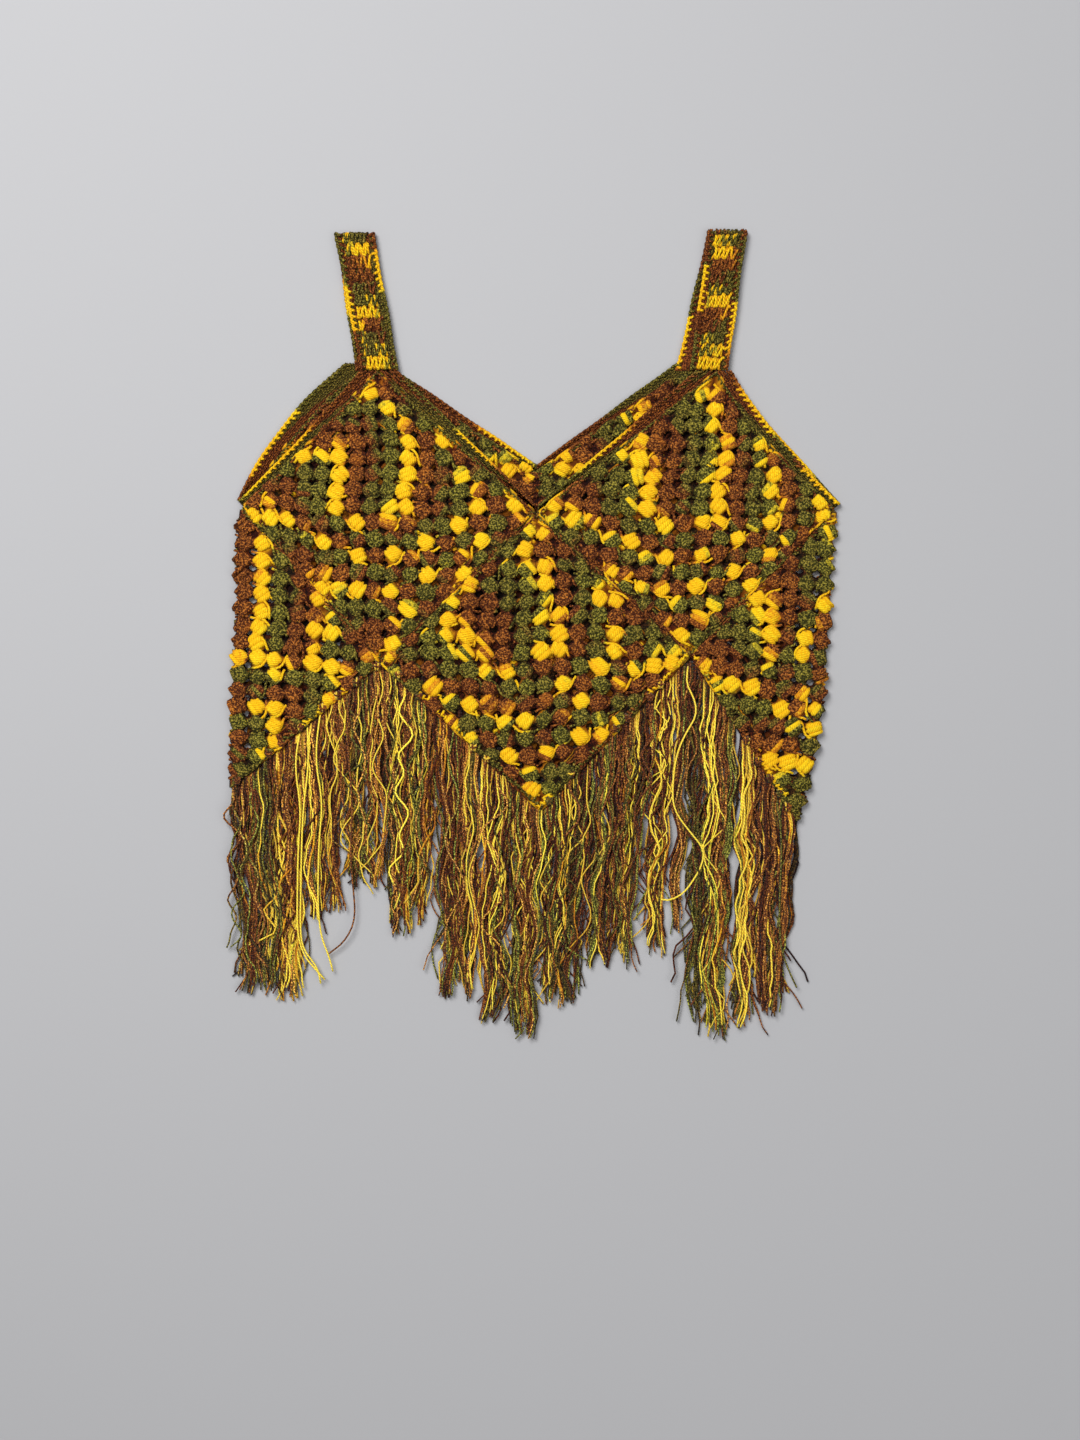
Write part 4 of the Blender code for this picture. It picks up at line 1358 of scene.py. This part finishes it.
def add_strap_rows(yarns, form, stops):
    """Adds the rows of posts, from the front foot over the shoulder to the back foot."""
    rows = round(form.length / MM / STRAP_ROW)
    height = form.length / rows
    share = np.linspace(0.0, 1.0, WAVES * WAVE_RINGS + 1)
    dye_row, dye_place = np.array(stops).T
    first, last = STRAP_SIDE - STRAP_TUCK, STRAP_WIDTH - STRAP_SIDE + STRAP_TUCK
    lines, runs, ups = [], [], []
    for row in range(rows):
        for half in (0.0, 0.5):
            wave = share * WAVES + half + chance.normal(0.0, WAVE_UNEVEN)
            rise = 2 * np.abs(wave - np.floor(wave + 0.5))
            rounded = rise * rise * (3 - 2 * rise)
            lean = STRAP_LEAN[0] + chance.normal(0.0, STRAP_LEAN[1])
            inner = first + (last - first) * share + lean * (rounded - 0.5)
            posts = chance.normal(*STRAP_TALL, WAVES + 1)
            tall = np.interp(share * WAVES, range(WAVES + 1), posts)
            nudge = chance.normal(0.0, ROW_UNEVEN) * MM
            along = (row + ROW_START + tall * rounded) * height + nudge
            up = POST_UP[0] + POST_UP[1] * np.sin(math.pi * rise)
            up = up + (SECOND_LINE_UP if half else 0.0)
            lines.append(form.at(along, inner / STRAP_WIDTH, up * MM))
            worked = share if row % 2 == 0 else 1 - share
            runs.append(np.interp(row + worked, dye_row, dye_place) + SECOND_LINE_DYE * 2 * half)
            ups.append(up)
    light = np.interp(ups, STRAP_DEEP, (STRAP_DEEP_LIGHT, 1.0))
    yarns.add(np.array(lines), STRAP_POST * MM, np.array(runs), light)


# %% Straps
STRAP_DYES = {
    # strap: the dye as stops, of its rows counted from the front foot, then of its sides by share
    "strap_left": (
        (
            (0.0, 0.92), (1.5, 1.10), (1.7, 1.25), (1.8, 1.25), (1.85, 1.05), (2.15, 1.05),
            (2.2, 1.30), (3.0, 1.45), (3.2, 1.60), (3.8, 1.72), (3.85, 1.93), (4.2, 1.93),
            (5.5, 2.10), (5.7, 2.25), (7.0, 2.45), (7.2, 2.60), (8.8, 2.75), (9.0, 2.92),
            (10.2, 3.08), (10.5, 3.30), (22.0, 5.40),
        ),
        (
            (0.0, 0.60), (0.13, 0.78), (0.145, 0.90), (0.30, 1.11), (0.32, 1.22), (0.49, 1.45),
            (1.0, 2.6),
        ),
        (
            (0.0, 1.45), (0.27, 1.20), (0.29, 1.10), (0.43, 0.87), (0.45, 0.80), (0.49, 0.6),
            (1.0, -0.5),
        ),
    ),
    "strap_right": (
        (
            (0.0, 0.90), (2.4, 1.11), (2.6, 1.25), (3.6, 1.45), (3.8, 1.60), (4.9, 1.75),
            (5.1, 1.90), (6.5, 2.10), (6.7, 2.25), (7.6, 2.45), (7.8, 2.58), (9.2, 2.75),
            (9.4, 2.90), (10.8, 3.10), (11.1, 3.30), (22.0, 5.40),
        ),
        (
            (0.0, 1.30), (0.19, 1.60), (0.21, 1.90), (0.37, 2.10), (0.385, 2.55), (0.49, 2.75),
            (0.79, 2.30), (0.81, 2.11), (0.99, 1.88), (1.0, 1.7),
        ),
        (
            (0.0, 0.80), (0.07, 0.86), (0.08, 0.91), (0.235, 1.11), (0.25, 1.2), (0.45, 1.4),
            (0.49, 1.6), (1.0, 2.7),
        ),
    ),
}
STRAP_CLOTH = (8, 60)  # quads across and along
STRAP_CLOTH_IN = 0.06  # of the width, how far inside the strap's sides the cloth ends
STRAP_CLOTH_LOW = 0.4 * MM
STRAP_CLOTH_DYE = (0.30, 0.65)  # green and brown, by turns
STRAP_CLOTH_TURNS = 9.0  # radians of these turns over the strap
STRAP_CLOTH_LIGHT = 0.5


def make_strap(solid):
    """Makes a strap's cloth and stitches, and returns its length in metres."""
    form = StrapForm(solid)
    row_stops, left_stops, right_stops = STRAP_DYES[solid]
    yarns = Yarns()
    add_strap_rows(yarns, form, row_stops)
    for side, stops in ((0, left_stops), (1, right_stops)):

        def place(share, inward, up):
            aside = inward / (STRAP_WIDTH * MM)
            up = np.where(share > 0.5, -up, up)  # behind, its right side faces the front
            across = aside if side == 0 else 1 - aside
            return form.at(share * form.length, across, up)

        add_edging(yarns, place, form.length, STRAP_SIDE, stops, STRAP_BOLD)
    stitches = yarns.piece(solid + "_stitches", strap_yarn)
    columns, rows = STRAP_CLOTH
    shares = np.linspace(STRAP_CLOTH_IN, 1 - STRAP_CLOTH_IN, columns + 1)
    across, along = np.meshgrid(shares, np.linspace(0, 1, rows + 1))
    points = form.at(along * form.length, across, np.full(across.shape, -STRAP_CLOTH_LOW))
    number = np.arange(across.size).reshape(across.shape)
    quads = np.stack((number[:-1, :-1], number[:-1, 1:], number[1:, 1:], number[1:, :-1]), axis=-1)
    quads = quads.reshape(-1, 4)
    uvs = np.stack((across.ravel(), along.ravel()), axis=-1)[quads.ravel()]
    turn = np.sin(STRAP_CLOTH_TURNS * along.ravel())
    shades = {
        "run": np.mean(STRAP_CLOTH_DYE) + np.ptp(STRAP_CLOTH_DYE) / 2 * turn,
        "light": np.full(along.size, STRAP_CLOTH_LIGHT),
    }
    points = points.reshape(-1, 3)
    cloth = walled(mesh_piece(solid + "_cloth", points, shades, [quads], [uvs], strap_yarn))
    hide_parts(solid)
    return form.length


for solid in ("strap_left", "strap_right"):
    print(solid, "length in mm:", round(make_strap(solid) / MM, 1))

# %% [markdown]
# ## Fringe
# Yarns are cut, doubled, pulled through the hem's gaps and knotted, a lock of several yarns to a
# gap. The locks hang together in wavy bunches. The bunches below are those of the solids: where
# each one starts on its edge of the hem, and where its tips lie. A lock wanders slowly from its gap
# to its place in the bunch, its yarns wind loosely round it, and a few stray from it. The yarns
# were cut from one ball, so a lock starts anywhere in the dye, and its dye runs on either way.

# %% The bunches
BUNCHES = {
    # edge of the hem: (from corner, to corner, ((start, end, tip x, tip y, spread), ...)), in mm
    "side_left": (
        "fold_left",
        "waist_left",
        (
            (0.00, 0.28, -203, -265, 28),
            (0.28, 0.50, -180, -270, 15),
            (0.50, 0.72, -156, -214, 20),
            (0.72, 1.00, -126, -188, 26),
        ),
    ),
    "centre_left": (
        "waist_left",
        "hem_point",
        (
            (0.00, 0.20, -101, -222, 13),
            (0.20, 0.35, -86, -214, 11),
            (0.35, 0.62, -56, -270, 20),
            (0.62, 0.82, -32, -287, 17),
            (0.82, 1.00, -9, -297, 14),
        ),
    ),
    "centre_right": (
        "hem_point",
        "waist_right",
        (
            (0.00, 0.40, 17, -275, 27),
            (0.40, 0.62, 47, -248, 16),
            (0.62, 0.76, 65, -246, 11),
            (0.76, 0.90, 87, -240, 12),
            (0.90, 1.00, 106, -220, 9),
        ),
    ),
    "side_right": (
        "waist_right",
        "fold_right",
        (
            (0.00, 0.45, 130, -300, 22),
            (0.45, 0.70, 150, -293, 13),
            (0.70, 1.00, 173, -281, 24),
        ),
    ),
}
TABLE_SHIFT = np.array((1.57, 0.87))  # mm, from the table of bunches to the solids' own origin


def hem_corner(place, layer):
    """The point (x, y), in metres, of a named corner of the hem."""
    left, right, centre = (forms[f"{layer}_{name}"] for name in ("left", "right", "centre"))
    named = {"waist_left": left.bottom, "waist_right": right.bottom, "hem_point": centre.bottom}
    for side in ("left", "right"):
        named["fold_" + side] = forms["side_" + side].seams[0][-1]
    return named[place]


# %% The yarns of a lock, in mm
FRINGE = {
    # layer: (yarns in a lock, hem for a lock, rings of a yarn, height at the root and the tip)
    "front": (12, 8.3, 36, 5.2, 3.4),
    "back": (9, 8.3, 20, 2.0, 1.7),
}
DARK_YARN = (0.75, 1.0)  # radius
YELLOW_YARN = 0.68
FRINGE_DYE = 1.2  # m of yarn for one round of the dye
LOCK_HALF = 4.4  # half of a lock's width where it is widest
LOCK_WIDTHS = ((0.0, 0.7), (12.0, 0.75), (38.0, 1.0))  # its share of that, so far from the root
LOCK_TIP = 0.55  # and at the tip
LOCK_THICK = {"front": 1.2, "back": 0.5}  # half of its thickness
LOCK_DEPTH = {"front": 1.2, "back": 0.3}  # how far it may lie above or below the others
LOCK_SWAY = (2.3, 45.0, 110.0)  # how far it sways, and its shortest and longest wave
LOCK_ROLL = 0.03  # radians that its yarns turn round it in a mm, at the most
LOCK_CROSS = (0.35, 2.5)  # how far they change places, of half its width, and at what phase
YARN_SWAY = (0.7, 22.0, 70.0)  # a yarn's own sway and waves
YARN_CRIMP = (0.4, 14.0, 26.0)  # the crimp that stitching left in it
YARN_SPLAY = 1.3  # how far its tip stands off
YARN_RIPPLE = (0.2, 9.0)  # up and down, and the length for a radian of it
YARN_LOWEST = 0.95  # above the table
STRAY_SHARE = 0.32  # of the yarns leave their lock
STRAY_SWAY = (1.4, 4.6)  # they sway between these
STRAY_WAVES = (30.0, 95.0)
STRAY_SPLAY = (7.0, 8.0)  # how far they stand off in their lower half, and at the very tip
STRAY_LIFT = 0.9
STRAY_LENGTH = (0.72, 1.02)  # of the lock's
CUT_SHAPE = 1.2  # how unevenly the yarns were cut: most a little short, and a few much
CUT_SHORT = 0.024  # of a yarn's length
CUT_MOST = 0.30
SIDE_SHORT = 0.04  # how much shorter the yarns at a lock's sides are
UNDER_HEM = 2.6  # above the table, where the front yarns leave the cloth from below
RISES = ((0.0, 0.1), (4.0, 0.25), (13.0, 1.0))  # their share of their full height, so far down
SHADED = (0.15, 1.0)  # light on a yarn at the bottom of its lock or beside it, and on top of it
ON_TOP = 0.7  # yarns that lie higher than this share of a lock get the full light


def wander(down, size, shortest, longest):
    """A smooth sway at distances down in mm from the root, which is 0 there."""
    sway = np.zeros(down.shape)
    for share in (1.0, 0.6):
        length = chance.uniform(shortest, longest)
        sway += share * np.sin(2 * math.pi * (down / length + chance.uniform(0.0, 1.0)))
    return size * sway * np.minimum(1.0, down / shortest)


def lock_yarns(layer, root, tip):
    """The lines, in mm, of the yarns of one lock, and the share of light that each one gets."""
    count, _, rings, high_root, high_tip = FRINGE[layer]
    part = np.linspace(0.0, 1.0, rings)
    fall = root[1] - tip[1]
    down = part * fall
    eased = part * part * (3 - 2 * part)
    course = root[0] + (tip[0] - root[0]) * eased + wander(down, *LOCK_SWAY)
    depth = chance.uniform(-1.0, 1.0) * LOCK_DEPTH[layer]
    roll = chance.uniform(-1.0, 1.0) * LOCK_ROLL * down
    narrow = np.interp(down, *np.array(LOCK_WIDTHS).T) * (1.0 + (LOCK_TIP - 1.0) * part)
    heights = chance.permutation(count) / count * 2 - 1
    lines = []
    shades = []
    for number in range(count):
        beside = (number + 0.5) / count * 2 - 1
        on_top = (0.5 + 0.5 * heights[number]) * math.sqrt(1 - beside**4)
        shades.append(np.interp(on_top, (0.0, ON_TOP), SHADED))
        crossing = LOCK_CROSS[0] * np.sin(roll + LOCK_CROSS[1] * beside)
        wide = LOCK_HALF * narrow * (beside + crossing)
        own = wander(down, *YARN_SWAY) + chance.normal(0.0, YARN_SPLAY) * part**4
        lift = 0.0
        short = min(CUT_MOST, chance.gamma(CUT_SHAPE, CUT_SHORT))
        end = fall * (1.0 - short - SIDE_SHORT * beside**2)
        if chance.uniform() < STRAY_SHARE:
            own = wander(down, chance.uniform(*STRAY_SWAY), *STRAY_WAVES)
            own += chance.normal(0.0, STRAY_SPLAY[0]) * part**3
            own += chance.normal(0.0, STRAY_SPLAY[1]) * part**8
            lift = STRAY_LIFT
            end = fall * chance.uniform(*STRAY_LENGTH)
        x = course + wide + own + wander(down, *YARN_CRIMP)
        y = root[1] - part * end
        z = high_root + (high_tip - high_root) * part + depth + heights[number] * LOCK_THICK[layer]
        z = z + lift * np.sin(math.pi * part)
        z = z + YARN_RIPPLE[0] * np.sin(down / YARN_RIPPLE[1] + number)
        if layer == "front":
            z = UNDER_HEM + (z - UNDER_HEM) * np.interp(down, *np.array(RISES).T)
        lines.append(np.stack((x, y, np.maximum(z, YARN_LOWEST)), axis=-1))
    return lines, shades


# %% Loose yarns
LOOSE = (
    # (the dye, points (x, y) in mm that the yarn passes, from its root to its tip)
    (0.62, (
        (-135, -32), (-139, -70), (-134, -120), (-136, -160), (-134, -182), (-132, -208),
        (-140, -224), (-152, -233),
    )),
    (0.98, ((-226, -120), (-226, -165), (-216, -212), (-204, -231), (-196, -235), (-184, -236))),
    (1.03, ((-223, -125), (-222, -160), (-213, -208), (-203, -227), (-192, -232), (-186, -231))),
    (0.98, (
        (-173, -68), (-177, -95), (-172, -125), (-174, -150), (-175, -190), (-175, -219),
        (-170, -235), (-163, -243), (-155, -252),
    )),
    (1.02, (
        (-168, -63), (-166, -90), (-171, -130), (-172, -170), (-173, -215), (-171, -230),
        (-160, -243), (-158, -255),
    )),
    (1.00, (
        (-158, -54), (-162, -90), (-156, -120), (-159, -150), (-160, -194), (-158, -220),
        (-152, -234), (-149, -246),
    )),
    (0.97, (
        (113, -21), (111, -34), (118, -46), (119, -58), (111, -70), (104, -86), (101, -110),
        (102, -127), (114, -143), (125, -156), (123, -168), (116, -180), (109, -189), (99, -194),
        (93, -193),
    )),
    (0.30, ((178, -119), (182, -150), (180, -190), (180, -225), (186, -243), (193, -258))),
)
LOOSE_RINGS = 40
LOOSE_SIDES = 5
LOOSE_LIGHT = 1.3
LOOSE_DYE = 0.3  # how fast its dye changes, of the locks' own pace
LOOSE_HEIGHT = 7.6  # mm above the table, on top of the locks
LOOSE_FALL = 3.0  # mm that its tip lies lower
LOOSE_DIP = (4.5, 8.0)  # mm that its root lies lower, and the length over which it rises
LOOSE_RIPPLE = (0.3, 7.0)  # mm up and down, and the length for a radian of it
CORNER_CUTS = 3
CUT_AT = 0.25  # of a stretch, where a cut meets it


def smoothed(points):
    """A line without the corners of the points: each cut puts two points in place of one."""
    line = np.array(points, float)
    for _ in range(CORNER_CUTS):
        first, second = line[:-1], line[1:]
        near, far = first + (second - first) * CUT_AT, second + (first - second) * CUT_AT
        cut = np.stack((near, far), axis=1)
        line = np.concatenate((line[:1], cut.reshape(-1, line.shape[1]), line[-1:]))
    steps = np.concatenate(([0.0], np.cumsum(np.linalg.norm(np.diff(line, axis=0), axis=1))))
    even = np.linspace(0.0, steps[-1], LOOSE_RINGS)
    return np.stack([np.interp(even, steps, column) for column in line.T], axis=-1), even


def add_loose(yarns, low, high):
    """Adds the loose yarns whose roots lie between low and high, in mm across the table."""
    for dye, points in LOOSE:
        if low <= points[0][0] < high:
            line, even = smoothed(points)
            line = line + TABLE_SHIFT
            height = LOOSE_HEIGHT - LOOSE_FALL * (even / even[-1]) ** 3
            height = height + LOOSE_RIPPLE[0] * np.sin(even / LOOSE_RIPPLE[1])
            height = height - LOOSE_DIP[0] * np.exp(-even / LOOSE_DIP[1])
            line = np.concatenate((line, height[:, None]), axis=1) * MM
            run = dye + LOOSE_DYE * even * MM / FRINGE_DYE
            yarns.add(line[None], YELLOW_YARN * MM, run, LOOSE_LIGHT, sides=LOOSE_SIDES)


# %% Knots over the hem, in mm
HITCH_RINGS = 6
HITCH_LOOPS = (-2.0, -0.7, 0.7, 2.0)  # where a knot's strands leave the edge, from its middle
HITCH_FAN = 0.45  # how much of this they lose on the way up
HITCH_REACH = 5.5  # how far they reach up from the edge,
HITCH_REACHES = (0.7, 1.05)  # times one of these shares
HITCH_UNEVEN = 0.2
HITCH_PAST = 0.8  # how far they run on over the edge
HITCH_DIVE = (2.2, 1.6)  # how deep they go into the cloth, and down at the edge
HITCH_BOW = (2.5, 1.6, 1.0)  # half its width, how far it lies from the edge, how far its ends bend
HITCH_BOW_UP = (0.5, 1.4)  # how high its middle lies over them, and how much lower its ends
HITCH_YARN = 0.8
HITCH_TOP = {"front": 7.4, "back": 2.6}  # above the table
HITCH_LIGHT = 0.9


def add_hitch(yarns, layer, root, runs):
    """The loops of one lock where it is pulled through the hem, and the bow that holds them."""
    grown = np.linspace(0.0, 1.0, HITCH_RINGS)
    top = HITCH_TOP[layer]
    loops = []
    for aside in HITCH_LOOPS:
        reach = HITCH_REACH * chance.uniform(*HITCH_REACHES)
        fan = 1.0 - HITCH_FAN * grown
        x = root[0] + aside * fan + chance.normal(0.0, HITCH_UNEVEN)
        y = root[1] + reach * (1 - grown) - HITCH_PAST * grown
        z = top - HITCH_DIVE[0] * (1 - grown) ** 4 - HITCH_DIVE[1] * grown**3
        loops.append(np.stack((x, y, z), axis=-1))
    across = np.linspace(-1.0, 1.0, HITCH_RINGS)
    half, off, bend = HITCH_BOW
    high, low = HITCH_BOW_UP
    bow_x = root[0] + half * across
    bow_y = root[1] + off + bend * across**2
    bow = np.stack((bow_x, bow_y, top + high - low * across**2), axis=-1)
    lines = np.array([*loops, bow]) * MM
    picked = chance.choice(runs, len(lines))[:, None]
    yarns.add(lines, HITCH_YARN * MM, picked, HITCH_LIGHT)


# %% The dyes and the light of a lock's yarns
YELLOW_SHARES = (0.06, 0.12, 0.18, 0.26)  # of a lock's yarns start in yellow
YELLOW_START = (-0.10, 0.10)  # between these places of the dye
DARK_START = (0.47, 0.77)  # the others start near one place between these, in a dark dye
DARK_APART = 0.12  # how far the dark yarns of one lock differ
YELLOW_DYES = (0.84, 1.14)  # the dyes from orange to lime
GREEN_DYES = (0.13, 0.51)
YELLOW_LIGHT = (1.1, 1.5)
YELLOW_SHADED = 0.6  # a yellow yarn stays at least this light, even at the bottom of its lock
DARK_LIGHTS = (0.3, 0.9, 1.8, 3.3, 4.8)  # painted shine: some dark yarns are drawn much paler than others
GREEN_DULL = 0.62  # green ones vary less: their light is raised to this power
BACK_LIGHT = ((0.0, 0.25), (0.5, 0.3), (0.85, 0.9))  # of the locks behind, from root to tip
ROOT_LIGHT = ((0.0, 0.4), (0.08, 1.0))  # of all locks


def in_dyes(runs, dyes):
    """Whether places in the dye lie between two others, whatever the round."""
    return np.mod(runs - dyes[0], 1.0) < dyes[1] - dyes[0]


def dye_starts(count):
    """Which of a lock's yarns start in yellow, and where in the dye each one starts."""
    yellow = chance.uniform(size=count) < chance.choice(YELLOW_SHARES)
    dark_runs = chance.uniform(*DARK_START) + chance.normal(0.0, DARK_APART, count)
    return yellow, np.where(yellow, chance.uniform(*YELLOW_START, count), dark_runs)


def fringe_light(layer, runs, lights):
    """The light along each yarn, from its light where it is yellow and where it is dark."""
    as_yellow, as_dark = np.array(lights).T[..., None]
    as_dark = np.where(in_dyes(runs, GREEN_DYES), as_dark**GREEN_DULL, as_dark)
    part = np.linspace(0.0, 1.0, runs.shape[1])
    light = np.interp(part, *np.array(ROOT_LIGHT).T)
    light = light * np.where(in_dyes(runs, YELLOW_DYES), as_yellow, as_dark)
    if layer == "back":
        light = light * np.interp(part, *np.array(BACK_LIGHT).T)
    return light


# %% The fringe's edges
ROOT_APART = 0.7  # mm, how far the roots stray from one line
ROOT_IN = 2.5  # mm, how far inside the hem they start
ROOT_UNEVEN = 0.12  # of the hem for a lock
TIP_ASIDE = 1.5  # mm
TIP_UP = 1.6  # mm, how much higher a lock ends than its bunch, drawn as the yarns' ends are
BACK_SHORTER = 8.0  # mm
SHORTEST = 50.0  # mm
HITCH_SHARE = 0.4  # of the locks show their knot over the hem
YARN_TIP = 0.85  # its radius there, of the root's


def add_fringe(yarns, layer, edge):
    """The locks of one edge of the hem. Returns how many yarns were added."""
    first, last, bunches = BUNCHES[edge]
    start, end = hem_corner(first, layer) / MM, hem_corner(last, layer) / MM
    _, pitch, rings, _, _ = FRINGE[layer]
    lines, starts, hands, radii, lights = [], [], [], [], []
    for begin, finish, tip_x, tip_y, spread in bunches:
        locks = max(1, round(abs(end[0] - start[0]) * (finish - begin) / pitch))
        for number in range(locks):
            hand = chance.choice((-1.0, 1.0))  # the way in which the dye runs on
            within = (number + 0.5 + chance.normal(0.0, ROOT_UNEVEN)) / locks
            root = start + (end - start) * (begin + (finish - begin) * within)
            tip = np.array((tip_x + (within - 0.5) * spread, tip_y)) + TABLE_SHIFT
            tip[0] += chance.normal(0.0, TIP_ASIDE)
            tip[1] += chance.gamma(CUT_SHAPE, TIP_UP) + (BACK_SHORTER if layer == "back" else 0.0)
            tip[1] = min(tip[1], root[1] - SHORTEST)
            root = root + (0.0, ROOT_IN) + chance.normal(0.0, ROOT_APART, 2)
            made, shades = lock_yarns(layer, root, tip)
            yellow, runs = dye_starts(len(made))
            if chance.uniform() < HITCH_SHARE:
                add_hitch(yarns, layer, root - (0.0, ROOT_IN), runs)
            lines += made
            starts += runs.tolist()
            hands += [hand] * len(made)
            radii += [YELLOW_YARN if one else chance.uniform(*DARK_YARN) for one in yellow]
            for shade in shades:
                as_yellow = chance.uniform(*YELLOW_LIGHT) * max(shade, YELLOW_SHADED)
                lights.append((as_yellow, chance.choice(DARK_LIGHTS) * shade))
    paths = np.array(lines) * MM
    fallen = (paths[:, :1, 1] - paths[:, :, 1]) / FRINGE_DYE
    runs = np.array(starts)[:, None] + np.array(hands)[:, None] * fallen
    radii = np.array(radii)[:, None] * np.linspace(1.0, YARN_TIP, rings)
    yarns.add(paths, radii * MM, runs, fringe_light(layer, runs, lights))
    if layer == "front":
        add_loose(yarns, start[0], end[0])
    return len(lines)


for layer in ("front", "back"):
    for edge in BUNCHES:
        yarns = Yarns()
        count = add_fringe(yarns, layer, edge)
        solid = f"fringe_{layer}_{edge}"
        fringe = yarns.piece(solid + "_yarns", fringe_yarn)
        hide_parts(solid)
        print(solid, count, "yarns")

# %% [markdown]
# ## The table
# The table is a plain pale disc, so wide that its edge stays far off, and so round that the edge
# makes the same soft horizon from wherever the top is seen.

# %% A pale round table
TABLE_GREY = (0.40, 0.40, 0.41, 1.0)
TABLE_RADIUS = 2.6  # m
TABLE_CORNERS = 128
TABLE_ROUGHNESS = 0.9

bpy.ops.mesh.primitive_circle_add(vertices=TABLE_CORNERS, radius=TABLE_RADIUS, fill_type="NGON")
table = bpy.context.object
table.name = "table"
table_material = bpy.data.materials.new("table")
table_material.use_nodes = True
table_shader = table_material.node_tree.nodes["Principled BSDF"]
table_shader.inputs["Base Color"].default_value = TABLE_GREY
table_shader.inputs["Roughness"].default_value = TABLE_ROUGHNESS
table.data.materials.append(table_material)
table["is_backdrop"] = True

# %% The two boxes
size = {
    "cad_box": [list(corner) for corner in cad_box],
    "visual_box": [list(corner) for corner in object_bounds()],
}
print("faces in triangles:", sum(made_faces.values()))
